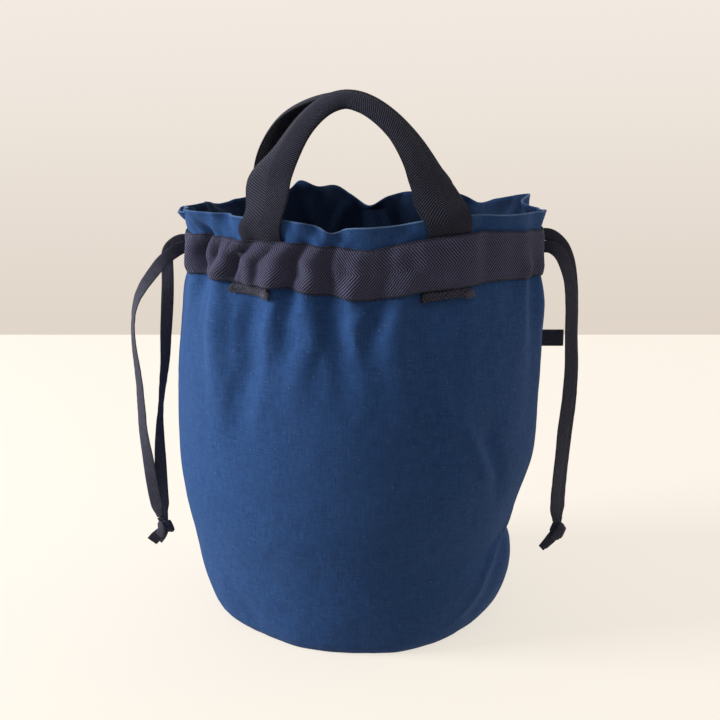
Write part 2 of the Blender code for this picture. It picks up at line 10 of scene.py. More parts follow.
import bpy
import numpy as np
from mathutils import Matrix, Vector


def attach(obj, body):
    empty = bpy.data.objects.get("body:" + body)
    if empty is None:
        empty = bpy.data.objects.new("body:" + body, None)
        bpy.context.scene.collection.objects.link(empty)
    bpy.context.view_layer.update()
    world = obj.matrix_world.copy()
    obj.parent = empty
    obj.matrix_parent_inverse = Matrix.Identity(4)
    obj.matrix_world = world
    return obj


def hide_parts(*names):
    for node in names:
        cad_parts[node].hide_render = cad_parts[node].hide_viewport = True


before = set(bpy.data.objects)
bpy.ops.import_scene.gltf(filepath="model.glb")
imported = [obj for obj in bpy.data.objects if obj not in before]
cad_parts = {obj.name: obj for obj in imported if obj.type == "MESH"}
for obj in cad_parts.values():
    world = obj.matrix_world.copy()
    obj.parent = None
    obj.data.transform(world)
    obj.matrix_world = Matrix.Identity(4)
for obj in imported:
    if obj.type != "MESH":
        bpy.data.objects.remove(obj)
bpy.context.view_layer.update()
SCENE = bpy.context.scene

# ------------------------------------------------------------------ sizes
CLOTH = 0.0013
TAPE = 0.0012
TAPE_WIDTH = 0.031
GAP = 0.00035
CORD_WIDTH = 0.0080
CORD_THICK = 0.0009
RIM_Z = 0.264
CASING_LOW = 0.219
CASING_HIGH = 0.249
PHASE = 2.6
STEP = 4.0
LEG_LEFT = -33.4
LEG_RIGHT = 26.6
LEG_HALF = 2
PITCH = 0.00175           # herringbone: distance from ridge to ridge
SLOPE = 0.84              # how far a ridge runs along for each unit across
RELIEF = 0.00033          # height of a ridge
FOLD_DEPTH = 1.45         # folds of the cloth, against those of its plain form

# Outline of the bag: height, then how far the wall stands from the axis to
# the left, right, front and back.
PROFILE = [
    # z       left     right    front    back
    (0.0000, 0.0905, 0.0852, 0.0955, 0.0885),
    (0.0040, 0.0955, 0.0902, 0.0980, 0.0935),
    (0.0120, 0.0996, 0.0955, 0.0996, 0.0980),
    (0.0260, 0.1044, 0.0998, 0.1012, 0.1012),
    (0.0400, 0.1080, 0.1004, 0.1026, 0.1035),
    (0.0550, 0.1116, 0.0984, 0.1040, 0.1050),
    (0.0750, 0.1160, 0.1038, 0.1062, 0.1065),
    (0.1050, 0.1188, 0.1136, 0.1075, 0.1070),
    (0.1400, 0.1184, 0.1162, 0.1070, 0.1060),
    (0.1700, 0.1170, 0.1175, 0.1040, 0.1030),
    (0.1950, 0.1145, 0.1175, 0.0975, 0.0970),
    (0.2100, 0.1125, 0.1162, 0.0905, 0.0905),
    (0.2190, 0.1098, 0.1146, 0.0868, 0.0870),
    (0.2340, 0.1082, 0.1136, 0.0848, 0.0850),
    (0.2490, 0.1088, 0.1144, 0.0842, 0.0845),
    (0.2565, 0.1132, 0.1158, 0.0842, 0.0850),
    (0.2640, 0.1162, 0.1162, 0.0840, 0.0858),
]

# Folds that run down from the casing on the front: rows of height, angle and
# how far the cloth stands out, then the fold's width.
FRONT_FOLDS = [
    (7.5, [(0.125, -46.0, 0.0000), (0.145, -46.0, 0.0014), (0.160, -47.0, 0.0027),
           (0.180, -48.0, 0.0044), (0.195, -49.0, 0.0054), (0.205, -48.5, 0.0051),
           (0.212, -48.0, 0.0044), (0.222, -50.0, 0.0031)]),
    (7.0, [(0.125, -37.0, 0.0000), (0.145, -37.5, -0.0017), (0.160, -36.5, -0.0034),
           (0.180, -34.5, -0.0048), (0.195, -35.5, -0.0058), (0.205, -34.5, -0.0051),
           (0.212, -35.0, -0.0037), (0.222, -42.0, -0.0020)]),
    (5.0, [(0.178, -28.0, 0.0000), (0.187, -27.5, 0.0010), (0.195, -27.5, 0.0019),
           (0.205, -26.5, 0.0025), (0.212, -25.5, 0.0025), (0.222, -28.0, 0.0020)]),
    (4.6, [(0.178, -22.0, 0.0000), (0.187, -22.0, -0.0009), (0.195, -22.0, -0.0016),
           (0.205, -23.0, -0.0022), (0.212, -22.0, -0.0022), (0.222, -23.0, -0.0018)]),
    (5.5, [(0.150, -19.0, 0.0000), (0.165, -18.5, 0.0007), (0.180, -17.5, 0.0018),
           (0.195, -14.5, 0.0028), (0.205, -15.5, 0.0030), (0.212, -16.0, 0.0030),
           (0.222, -17.0, 0.0020)]),
    (5.6, [(0.150, -4.0, 0.0000), (0.165, -4.0, -0.0007), (0.180, -4.0, -0.0018),
           (0.195, -6.0, -0.0028), (0.205, -8.0, -0.0031), (0.212, -8.0, -0.0030),
           (0.222, -10.0, -0.0022)]),
    (5.0, [(0.170, -1.0, 0.0000), (0.185, -1.5, 0.0007), (0.195, -2.0, 0.0015),
           (0.205, -1.5, 0.0025), (0.212, -0.5, 0.0028), (0.222, -3.0, 0.0022)]),
    (5.0, [(0.170, 3.0, 0.0000), (0.185, 3.0, -0.0007), (0.195, 3.0, -0.0015),
           (0.205, 4.0, -0.0024), (0.212, 6.0, -0.0024), (0.222, 5.0, -0.0019)]),
    (6.5, [(0.140, 14.0, 0.0000), (0.160, 13.0, 0.0007), (0.180, 12.0, 0.0014),
           (0.195, 10.5, 0.0022), (0.205, 11.0, 0.0026), (0.212, 12.0, 0.0026),
           (0.222, 13.0, 0.0017)]),
    (6.0, [(0.130, 22.0, 0.0000), (0.160, 20.0, -0.0007), (0.180, 18.0, -0.0014),
           (0.200, 17.0, -0.0017), (0.222, 18.0, -0.0010)]),
]

# The others: angle, width, height, reach, drift.
FOLDS = [
    (-66.0,   7.0,   0.0010, 0.085,  -4.0),
    (-60.5,   5.0,  -0.0018, 0.050,  -3.0),
    ( 60.0,   7.0,   0.0010, 0.120,  -8.0),
    ( 68.0,   8.0,  -0.0016, 0.130,  -8.0),
    ( 78.0,   8.0,   0.0014, 0.110,  -4.0),
    (104.0,   7.0,  -0.0020, 0.090,   2.0),
    (115.0,   7.0,   0.0020, 0.100,   2.0),
    (127.0,   7.0,  -0.0022, 0.080,   0.0),
    (139.0,   7.0,   0.0018, 0.110,   2.0),
    (152.0,   6.5,  -0.0020, 0.090,   2.0),
    (163.0,   6.5,   0.0020, 0.100,  -2.0),
    (173.0,   6.5,  -0.0022, 0.090,   0.0),
    (183.0,   6.5,   0.0020, 0.110,   0.0),
    (194.0,   6.5,  -0.0020, 0.080,   2.0),
    (205.0,   7.0,   0.0020, 0.100,   2.0),
    (217.0,   7.0,  -0.0020, 0.090,  -2.0),
    (229.0,   7.0,   0.0018, 0.110,  -3.0),
    (241.0,   7.0,  -0.0022, 0.090,  -2.0),
    (254.0,   7.0,   0.0016, 0.100,  -2.0),
]

# Waves of the ruffled rim: angle, width, how far the cloth stands out.
RUFFLE = [
    (-71.0,   5.0,  -0.0012),
    (-59.0,   8.0,   0.0042),
    (-44.6,   6.0,  -0.0050),
    (-17.3,   3.8,   0.0022),
    (-13.0,   3.0,  -0.0018),
    ( -9.4,   3.0,   0.0014),
    ( -6.0,   3.2,  -0.0034),
    (  1.0,   5.0,   0.0018),
    (  4.5,   3.0,   0.0006),
    ( 13.0,   5.5,  -0.0018),
    ( 50.0,  10.0,   0.0008),
    ( 61.0,   7.0,  -0.0010),
    ( 88.0,   6.0,   0.0014),
    (101.0,   6.5,  -0.0080),
    (112.0,   6.0,   0.0030),
    (125.0,   6.0,  -0.0032),
    (139.0,   7.0,   0.0024),
    (153.0,   6.5,  -0.0024),
    (164.0,   6.0,   0.0036),
    (176.0,   6.0,  -0.0060),
    (187.0,   6.5,   0.0040),
    (195.0,   5.0,  -0.0026),
    (203.0,   6.0,   0.0040),
    (222.0,   6.5,  -0.0030),
    (236.0,   6.5,   0.0030),
    (248.0,   6.0,  -0.0050),
    (258.0,   5.0,   0.0020),
    # pleats at the ends of the mouth and small waves between the large ones
    (-66.0,   3.0,   0.0006),
    (-53.0,   3.5,  -0.0008),
    (-26.0,   4.0,   0.0008),
    (-107.0,  5.0,  -0.0026),
    ( 93.0,   3.5,  -0.0020),
    (118.0,   3.0,   0.0010),
    (131.0,   3.0,  -0.0012),
    (146.0,   3.0,   0.0012),
    (159.0,   3.0,  -0.0012),
    (170.0,   3.0,   0.0014),
    (182.0,   3.0,  -0.0014),
    (198.5,   2.6,   0.0014),
    (208.0,   3.0,  -0.0018),
    (214.0,   3.0,   0.0014),
    (229.0,   3.0,  -0.0012),
    (242.0,   3.0,   0.0014),
]

# Height of the ruffle's edge round the mouth.
RIM = [
    (-90.0, 0.2590),
    (-84.0, 0.2622),
    (-77.0, 0.2640),
    (-60.0, 0.2655),
    (-33.0, 0.2650),
    (-17.0, 0.2636),
    (-12.0, 0.2610),
    ( -7.5, 0.2575),
    ( -4.0, 0.2604),
    (  4.0, 0.2613),
    ( 12.0, 0.2622),
    ( 18.0, 0.2643),
    ( 33.0, 0.2664),
    ( 48.0, 0.2645),
    ( 70.0, 0.2625),
    ( 85.0, 0.2608),
    ( 96.0, 0.2600),
    (108.0, 0.2662),
    (125.0, 0.2612),
    (137.0, 0.2560),
    (145.0, 0.2616),
    (155.0, 0.2604),
    (162.5, 0.2612),
    (171.0, 0.2572),
    (177.0, 0.2520),
    (183.0, 0.2588),
    (188.0, 0.2646),
    (195.0, 0.2652),
    (200.5, 0.2688),
    (205.0, 0.2625),
    (226.0, 0.2592),
    (234.0, 0.2566),
    (244.0, 0.2602),
    (255.0, 0.2596),
    (263.0, 0.2584),
    (270.0, 0.2590),
]

# The casing isn't level: how far its lower and upper edges sit above their
# named heights, round the bag.
BAND = [
    (-90.0,  0.0058,  0.0000),
    (-77.0,  0.0062,  0.0004),
    (-53.0,  0.0072,  0.0030),
    (-36.0,  0.0056,  0.0026),
    (-21.0,  0.0046,  0.0028),
    ( -9.0,  0.0016,  0.0010),
    (  3.0,  0.0000,  0.0000),
    ( 12.0,  0.0022,  0.0030),
    ( 21.0,  0.0036,  0.0052),
    ( 38.0,  0.0064,  0.0080),
    ( 46.0,  0.0064,  0.0064),
    ( 58.0,  0.0050,  0.0044),
    ( 85.0,  0.0022,  0.0012),
    (110.0,  0.0010,  0.0010),
    (180.0,  0.0020,  0.0010),
    (240.0,  0.0030,  0.0008),
    (270.0,  0.0058,  0.0000),
]

# Small waves of the foot: angle, width, how far out.
FOOT = [
    (-78.0,  16.0,   0.0008),
    (-40.0,  20.0,  -0.0020),
    ( 16.0,  20.0,   0.0016),
    ( 54.0,  18.0,  -0.0012),
]

# Puckers where the drawstring gathers the front of the casing: each a line of
# rows of height, angle and how far it stands out, then its width.
FRONT_PUCKERS = [
    (4.6, [(0.219, -69.0, 0.0024), (0.228, -68.5, 0.0045), (0.238, -68.0, 0.0045), (0.249, -68.0, 0.0018)]),
    (4.6, [(0.219, -60.5, -0.0016), (0.226, -60.0, -0.0075), (0.236, -61.0, -0.0098), (0.249, -57.5, -0.0070)]),
    (2.8, [(0.228, -54.5, 0.0000), (0.234, -55.0, 0.0018), (0.240, -54.0, 0.0021), (0.249, -52.0, 0.0006)]),
    (2.6, [(0.228, -51.5, 0.0000), (0.234, -52.0, -0.0019), (0.240, -51.5, -0.0023), (0.249, -49.0, -0.0009)]),
    (4.2, [(0.219, -51.0, 0.0018), (0.228, -48.2, 0.0039), (0.236, -46.5, 0.0048), (0.242, -43.5, 0.0042), (0.249, -38.5, 0.0018)]),
    (3.4, [(0.219, -44.8, -0.0018), (0.228, -42.6, -0.0045), (0.236, -41.4, -0.0051), (0.242, -38.0, -0.0039), (0.249, -33.5, -0.0015)]),
    (2.8, [(0.219, -36.5, 0.0006), (0.228, -36.0, 0.0019), (0.236, -36.0, 0.0021), (0.242, -32.5, 0.0015), (0.249, -28.5, 0.0004)]),
    (2.6, [(0.219, -33.4, -0.0006), (0.228, -33.0, -0.0018), (0.236, -33.0, -0.0018), (0.242, -29.5, -0.0013), (0.249, -25.5, -0.0005)]),
    (4.0, [(0.219, -28.0, 0.0013), (0.228, -26.8, 0.0029), (0.236, -26.8, 0.0031), (0.242, -25.2, 0.0029), (0.249, -21.0, 0.0013)]),
    (3.2, [(0.219, -23.5, -0.0013), (0.228, -20.8, -0.0036), (0.236, -21.2, -0.0039), (0.242, -20.0, -0.0034), (0.249, -16.0, -0.0016)]),
    (3.6, [(0.219, -17.0, 0.0013), (0.228, -14.8, 0.0031), (0.236, -15.8, 0.0034), (0.242, -15.0, 0.0029), (0.249, -12.0, 0.0010)]),
    (3.2, [(0.219, -10.5, -0.0013), (0.228, -9.8, -0.0034), (0.236, -10.2, -0.0036), (0.242, -10.0, -0.0031), (0.249, -7.5, -0.0016)]),
    (4.2, [(0.219, -3.5, 0.0010), (0.228, -2.0, 0.0023), (0.236, -1.0, 0.0026), (0.242, -1.0, 0.0023), (0.249, 1.0, 0.0010)]),
    (4.2, [(0.219, 5.0, -0.0007), (0.228, 6.5, -0.0018), (0.236, 7.5, -0.0020), (0.242, 7.0, -0.0018), (0.249, 9.0, -0.0010)]),
    (3.2, [(0.219, 12.0, 0.0004), (0.228, 13.0, 0.0011), (0.236, 12.0, 0.0010), (0.249, 12.5, 0.0005)]),
    (3.0, [(0.219, 17.0, -0.0004), (0.228, 18.0, -0.0010), (0.236, 16.5, -0.0007), (0.249, 17.0, -0.0004)]),
    (6.0, [(0.219, 29.0, 0.0003), (0.234, 29.0, 0.0007), (0.249, 28.0, 0.0004)]),
    (4.0, [(0.219, 38.0, -0.0003), (0.234, 39.5, -0.0007), (0.249, 40.0, -0.0004)]),
    (5.0, [(0.219, 60.0, 0.0013), (0.226, 61.0, 0.0018), (0.233, 61.0, 0.0004), (0.249, 61.0, 0.0000)]),
    (5.0, [(0.219, 72.0, -0.0018), (0.226, 72.5, -0.0025), (0.233, 73.0, -0.0005), (0.249, 73.0, 0.0000)]),
]

# The others: angle at mid height, how far it leans for each 10 mm up, width
# and height.
PUCKERS = [
    (109.5,   1.5,   4.0,   0.0016),
    (121.0,  -2.0,   3.6,  -0.0022),
    (133.0,   2.5,   4.5,   0.0018),
    (146.0,   2.0,   3.4,  -0.0024),
    (157.5,  -1.5,   4.5,   0.0018),
    (168.0,   2.0,   3.4,  -0.0024),
    (178.0,   1.0,   4.0,   0.0020),
    (189.0,  -2.0,   3.6,  -0.0022),
    (199.5,   2.0,   4.0,   0.0020),
    (211.0,   2.5,   3.4,  -0.0024),
    (223.0,  -1.0,   4.5,   0.0020),
    (235.0,   2.0,   3.6,  -0.0024),
    (247.0,   1.0,   4.0,   0.0020),
    (259.0,  -2.0,   4.0,  -0.0018),
]

# Creases of the wall, each a line of rows: height, angle, how far the cloth
# stands out, and half width in metres.
CREASES = [
    [   # bright edge where the lower right side caves in
        (0.0100, 36.0,  0.0000, 0.0030),
        (0.0206, 43.5,  0.0013, 0.0028),
        (0.0293, 48.0,  0.0019, 0.0026),
        (0.0386, 51.5,  0.0021, 0.0026),
        (0.0481, 57.9,  0.0021, 0.0026),
        (0.0547, 63.7,  0.0018, 0.0028),
        (0.0620, 71.8,  0.0012, 0.0034),
        (0.0700, 80.0,  0.0000, 0.0040),
    ],
    [   # hollow beside it
        (0.0080, 46.0,  0.0000, 0.0060),
        (0.0206, 54.0, -0.0016, 0.0060),
        (0.0386, 62.0, -0.0024, 0.0060),
        (0.0481, 69.0, -0.0022, 0.0060),
        (0.0547, 77.0, -0.0014, 0.0060),
        (0.0620, 88.0,  0.0000, 0.0060),
    ],
    [
        (0.1340, 29.0,  0.0000, 0.0040),
        (0.1432, 27.2,  0.0012, 0.0036),
        (0.1609, 25.0,  0.0013, 0.0040),
        (0.1760, 22.0,  0.0000, 0.0050),
    ],
    [
        (0.1020, 48.5,  0.0000, 0.0050),
        (0.1119, 41.4,  0.0016, 0.0045),
        (0.1313, 35.6,  0.0022, 0.0045),
        (0.1490, 31.0,  0.0015, 0.0050),
        (0.1620, 31.0,  0.0000, 0.0060),
    ],
    [
        (0.0800, 55.0,  0.0000, 0.0070),
        (0.0961, 49.4, -0.0014, 0.0060),
        (0.1141, 47.0, -0.0022, 0.0060),
        (0.1325, 42.5, -0.0018, 0.0060),
        (0.1500, 44.0,  0.0000, 0.0070),
    ],
    [   # slack above the foot on the left
        (0.0050, -40.0,  0.0000, 0.0060),
        (0.0180, -44.0, -0.0012, 0.0070),
        (0.0330, -49.0, -0.0006, 0.0080),
        (0.0480, -54.0,  0.0000, 0.0090),
    ],
    [
        (0.0300, 118.0,  0.0000, 0.0060),
        (0.0500, 112.0,  0.0012, 0.0050),
        (0.0850, 106.0,  0.0012, 0.0050),
        (0.1200, 101.0,  0.0000, 0.0070),
    ],
    [
        (0.0250, 214.0,  0.0000, 0.0070),
        (0.0500, 206.0, -0.0014, 0.0070),
        (0.0800, 199.0, -0.0010, 0.0080),
        (0.1150, 193.0,  0.0000, 0.0090),
    ],
    [
        (0.0500, 150.0,  0.0000, 0.0060),
        (0.0800, 156.0,  0.0012, 0.0055),
        (0.1150, 159.0,  0.0010, 0.0060),
        (0.1500, 161.0,  0.0000, 0.0070),
    ],
    [
        (0.0150, 262.0,  0.0000, 0.0070),
        (0.0350, 256.0, -0.0014, 0.0070),
        (0.0600, 250.0, -0.0010, 0.0070),
        (0.0900, 245.0,  0.0000, 0.0080),
    ],
]

HANDLE_FRONT = [
    # x        y        z       roll   bend
    (-0.0542, -0.0780, 0.2700,  32.0,  14.0),
    (-0.0549, -0.0736, 0.2781,  31.0,  22.0),
    (-0.0551, -0.0670, 0.2870,  27.0,  34.0),
    (-0.0522, -0.0582, 0.2962,  40.0,  56.0),
    (-0.0472, -0.0490, 0.3056,  57.0,  88.0),
    (-0.0412, -0.0375, 0.3150,  66.0, 104.0),
    (-0.0330, -0.0275, 0.3243,  70.0, 106.0),
    (-0.0222, -0.0195, 0.3322,  72.0, 108.0),
    (-0.0086, -0.0160, 0.3361,  72.0, 108.0),
    ( 0.0055, -0.0195, 0.3328,  70.0, 108.0),
    ( 0.0194, -0.0280, 0.3240,  66.0, 104.0),
    ( 0.0312, -0.0385, 0.3120,  60.0,  98.0),
    ( 0.0381, -0.0485, 0.3016,  52.0,  84.0),
    ( 0.0419, -0.0570, 0.2923,  42.0,  62.0),
    ( 0.0448, -0.0655, 0.2832,  30.0,  42.0),
    ( 0.0470, -0.0725, 0.2745,  18.0,  26.0),
    ( 0.0484, -0.0780, 0.2690,   8.0,  14.0),
]
HANDLE_BACK = [
    # x        y        z       roll   bend
    (-0.0600,  0.0775, 0.2710,  14.0,  24.0),
    (-0.0622,  0.0680, 0.2810,  32.0,  44.0),
    (-0.0618,  0.0555, 0.2925,  46.0,  66.0),
    (-0.0570,  0.0430, 0.3060,  56.0,  82.0),
    (-0.0478,  0.0335, 0.3182,  62.0,  90.0),
    (-0.0355,  0.0255, 0.3262,  66.0,  94.0),
    (-0.0217,  0.0200, 0.3312,  68.0,  95.0),
    (-0.0076,  0.0180, 0.3326,  70.0,  95.0),
    ( 0.0064,  0.0200, 0.3280,  68.0,  95.0),
    ( 0.0206,  0.0270, 0.3184,  66.0,  94.0),
    ( 0.0313,  0.0370, 0.3054,  60.0,  88.0),
    ( 0.0391,  0.0490, 0.2930,  50.0,  70.0),
    ( 0.0451,  0.0630, 0.2810,  34.0,  46.0),
    ( 0.0485,  0.0775, 0.2700,  14.0,  24.0),
]

# The flat drawstrings: the middle of each strand from the casing to the
# knot, and the angle that its flat side faces.
STRANDS = {
    "drawstring_left_a": [
        (-0.1098, -0.0050, 0.2376,   0.0),
        (-0.1136, -0.0062, 0.2368,   0.0),
        (-0.1178, -0.0090, 0.2346,  -4.0),
        (-0.1246, -0.0120, 0.2297, -14.0),
        (-0.1305, -0.0140, 0.2227, -26.0),
        (-0.1371, -0.0145, 0.2138, -42.0),
        (-0.1418, -0.0150, 0.2048, -58.0),
        (-0.1444, -0.0150, 0.1931, -68.0),
        (-0.1449, -0.0150, 0.1801, -64.0),
        (-0.1437, -0.0150, 0.1656, -56.0),
        (-0.1424, -0.0150, 0.1523, -50.0),
        (-0.1416, -0.0150, 0.1356, -46.0),
        (-0.1408, -0.0155, 0.1189, -40.0),
        (-0.1390, -0.0162, 0.1054, -28.0),
        (-0.1371, -0.0168, 0.0919, -14.0),
        (-0.1353, -0.0174, 0.0783,  -8.0),
        (-0.1327, -0.0179, 0.0653,  -6.0),
        (-0.1312, -0.0182, 0.0605,  -6.0),
    ],
    "drawstring_left_b": [
        (-0.1100, -0.0020, 0.2410,   0.0),
        (-0.1136, -0.0026, 0.2412,   0.0),
        (-0.1171, -0.0032, 0.2398,   0.0),
        (-0.1215, -0.0040, 0.2358,   0.0),
        (-0.1229, -0.0050, 0.2302,   0.0),
        (-0.1227, -0.0062, 0.2214,   0.0),
        (-0.1228, -0.0080, 0.2101,   2.0),
        (-0.1235, -0.0090, 0.1973,   8.0),
        (-0.1246, -0.0096, 0.1809,  34.0),
        (-0.1257, -0.0100, 0.1630,  52.0),
        (-0.1276, -0.0100, 0.1483,  64.0),
        (-0.1293, -0.0100, 0.1342,  74.0),
        (-0.1305, -0.0100, 0.1206,  62.0),
        (-0.1309, -0.0103, 0.1071,  46.0),
        (-0.1308, -0.0112, 0.0902,  22.0),
        (-0.1303, -0.0124, 0.0734,   8.0),
        (-0.1294, -0.0136, 0.0619,   4.0),
        (-0.1290, -0.0140, 0.0600,   4.0),
    ],
    "drawstring_right_a": [
        ( 0.1130, -0.0052, 0.2372,   0.0),
        ( 0.1176, -0.0068, 0.2378,   0.0),
        ( 0.1215, -0.0090, 0.2375,   2.0),
        ( 0.1265, -0.0112, 0.2337,  10.0),
        ( 0.1301, -0.0124, 0.2262,  18.0),
        ( 0.1330, -0.0128, 0.2159,  20.0),
        ( 0.1345, -0.0128, 0.2010,  20.0),
        ( 0.1349, -0.0128, 0.1813,  14.0),
        ( 0.1356, -0.0128, 0.1615,  10.0),
        ( 0.1347, -0.0128, 0.1415,  14.0),
        ( 0.1325, -0.0128, 0.1212,  22.0),
        ( 0.1311, -0.0130, 0.1042,  28.0),
        ( 0.1297, -0.0134, 0.0872,  34.0),
        ( 0.1287, -0.0140, 0.0714,  34.0),
        ( 0.1288, -0.0148, 0.0598,  20.0),
        ( 0.1292, -0.0150, 0.0570,  10.0),
    ],
    "drawstring_right_b": [
        ( 0.1134, -0.0012, 0.2442,   0.0),
        ( 0.1180, -0.0016, 0.2450,   0.0),
        ( 0.1229, -0.0024, 0.2437,   2.0),
        ( 0.1293, -0.0040, 0.2376,  10.0),
        ( 0.1332, -0.0054, 0.2281,  18.0),
        ( 0.1354, -0.0062, 0.2160,  22.0),
        ( 0.1364, -0.0068, 0.1998,  22.0),
        ( 0.1366, -0.0072, 0.1802,  18.0),
        ( 0.1375, -0.0072, 0.1603,  12.0),
        ( 0.1374, -0.0072, 0.1401,  16.0),
        ( 0.1358, -0.0074, 0.1198,  24.0),
        ( 0.1346, -0.0078, 0.1028,  30.0),
        ( 0.1335, -0.0084, 0.0857,  34.0),
        ( 0.1326, -0.0092, 0.0700,  34.0),
        ( 0.1319, -0.0104, 0.0585,  20.0),
        ( 0.1317, -0.0110, 0.0570,  10.0),
    ],
}


# ------------------------------------------------------------- functions
def smooth(edge0, edge1, value):
    t = np.clip((value - edge0) / (edge1 - edge0), 0.0, 1.0)
    return t * t * (3.0 - 2.0 * t)


def hermite(rows, at):
    """Smooth curve through rows of numbers; column 0 holds the parameter.
    at may be an array of any shape; the result has one more axis."""
    rows = np.asarray(rows, float)
    keys = rows[:, 0]
    at = np.clip(np.asarray(at, float), keys[0], keys[-1])
    i = np.clip(np.searchsorted(keys, at, side="left") - 1, 0, len(keys) - 2)
    before, after = np.maximum(i - 1, 0), np.minimum(i + 2, len(keys) - 1)
    a, b, p, q = rows[i], rows[i + 1], rows[before], rows[after]
    span = (b[..., 0] - a[..., 0])[..., None]
    t = (at - a[..., 0])[..., None] / span
    slope_a = (b - p)[..., 1:] / (b - p)[..., :1]
    slope_b = (q - a)[..., 1:] / (q - a)[..., :1]
    h00, h10 = 2 * t ** 3 - 3 * t ** 2 + 1, t ** 3 - 2 * t ** 2 + t
    h01, h11 = -2 * t ** 3 + 3 * t ** 2, t ** 3 - t ** 2
    return (h00 * a[..., 1:] + h10 * span * slope_a
            + h01 * b[..., 1:] + h11 * span * slope_b)


def turn(angle):
    return (angle + 180.0) % 360.0 - 180.0


def hump(angle, middle, width):
    d = np.abs(turn(angle - middle)) / width
    return np.where(d >= 1.0, 0.0, (1.0 - d * d) ** 2)


def unit(v):
    return v / np.maximum(np.linalg.norm(v, axis=-1, keepdims=True), 1e-12)


def lattice(u, v, cells_u, cells_v, seed):
    """Smooth noise from -1 to 1 over u and v in 0..1, repeating along u."""
    grid = np.random.RandomState(seed).uniform(-1.0, 1.0, (cells_u, cells_v + 4))
    x, y = (u % 1.0) * cells_u, np.clip(v, 0.0, 1.0) * cells_v
    i, j = np.floor(x).astype(int), np.floor(y).astype(int)

    def weights(f):
        return [(1 - f) ** 3 / 6, (3 * f ** 3 - 6 * f ** 2 + 4) / 6,
                (-3 * f ** 3 + 3 * f ** 2 + 3 * f + 1) / 6, f ** 3 / 6]
    wx, wy = weights(x - i), weights(y - j)
    total = 0.0
    for a in range(4):
        for b in range(4):
            total = total + wx[a] * wy[b] * grid[(i + a - 1) % cells_u, j + b]
    return total * 2.2


def leg_lean(leg, z):
    """How far a front leg's middle moves round the bag at each height: the
    tapes run slightly aslant under the casing."""
    start, end = {LEG_LEFT: (-3.2, 1.8), LEG_RIGHT: (-0.6, 0.6)}[leg]
    return start + (end - start) * smooth(0.210, 0.252, z)


def leg_cover(angle, first=0.8, last=5.0, z=0.234):
    """1 over the handle legs, falling to 0 beside them."""
    flat = np.zeros_like(angle)
    for middle in (LEG_LEFT, LEG_RIGHT, 180.0 - LEG_LEFT, 180.0 - LEG_RIGHT):
        lean = leg_lean(middle, z) if middle in (LEG_LEFT, LEG_RIGHT) else 0.0
        d = np.abs(turn(angle - middle - lean))
        flat = np.maximum(flat, 1.0 - smooth(LEG_HALF * STEP + first,
                                             LEG_HALF * STEP + last, d))
    return flat


def rim_height(angle):
    return hermite(RIM, (angle + 90.0) % 360.0 - 90.0)[..., 0]


def true_height(angle, z):
    """Real height of a level line of the cloth: the casing rises and falls
    with BAND and the ruffle's edge with RIM."""
    low, high = np.moveaxis(hermite(BAND, (angle + 90.0) % 360.0 - 90.0), -1, 0)
    edge = CASING_HIGH + high
    return np.where(
        z <= CASING_LOW, z + low * smooth(0.165, CASING_LOW, z),
        np.where(z <= CASING_HIGH,
                 z + low + (high - low) * (z - CASING_LOW) / (CASING_HIGH - CASING_LOW),
                 edge + (z - CASING_HIGH) * (rim_height(angle) - edge) / (RIM_Z - CASING_HIGH)))


def crease(rows, angle, z):
    middle, height, half = np.moveaxis(hermite(rows, z), -1, 0)
    inside = (z > rows[0][0]) & (z < rows[-1][0])
    d = turn(angle - middle) * 0.00186 / half
    lean = (rows[-1][1] - rows[0][1]) * 0.00186 / (rows[-1][0] - rows[0][0])
    d = d / math.hypot(1.0, lean)
    return np.where(inside, height * np.exp(-d * d), 0.0)


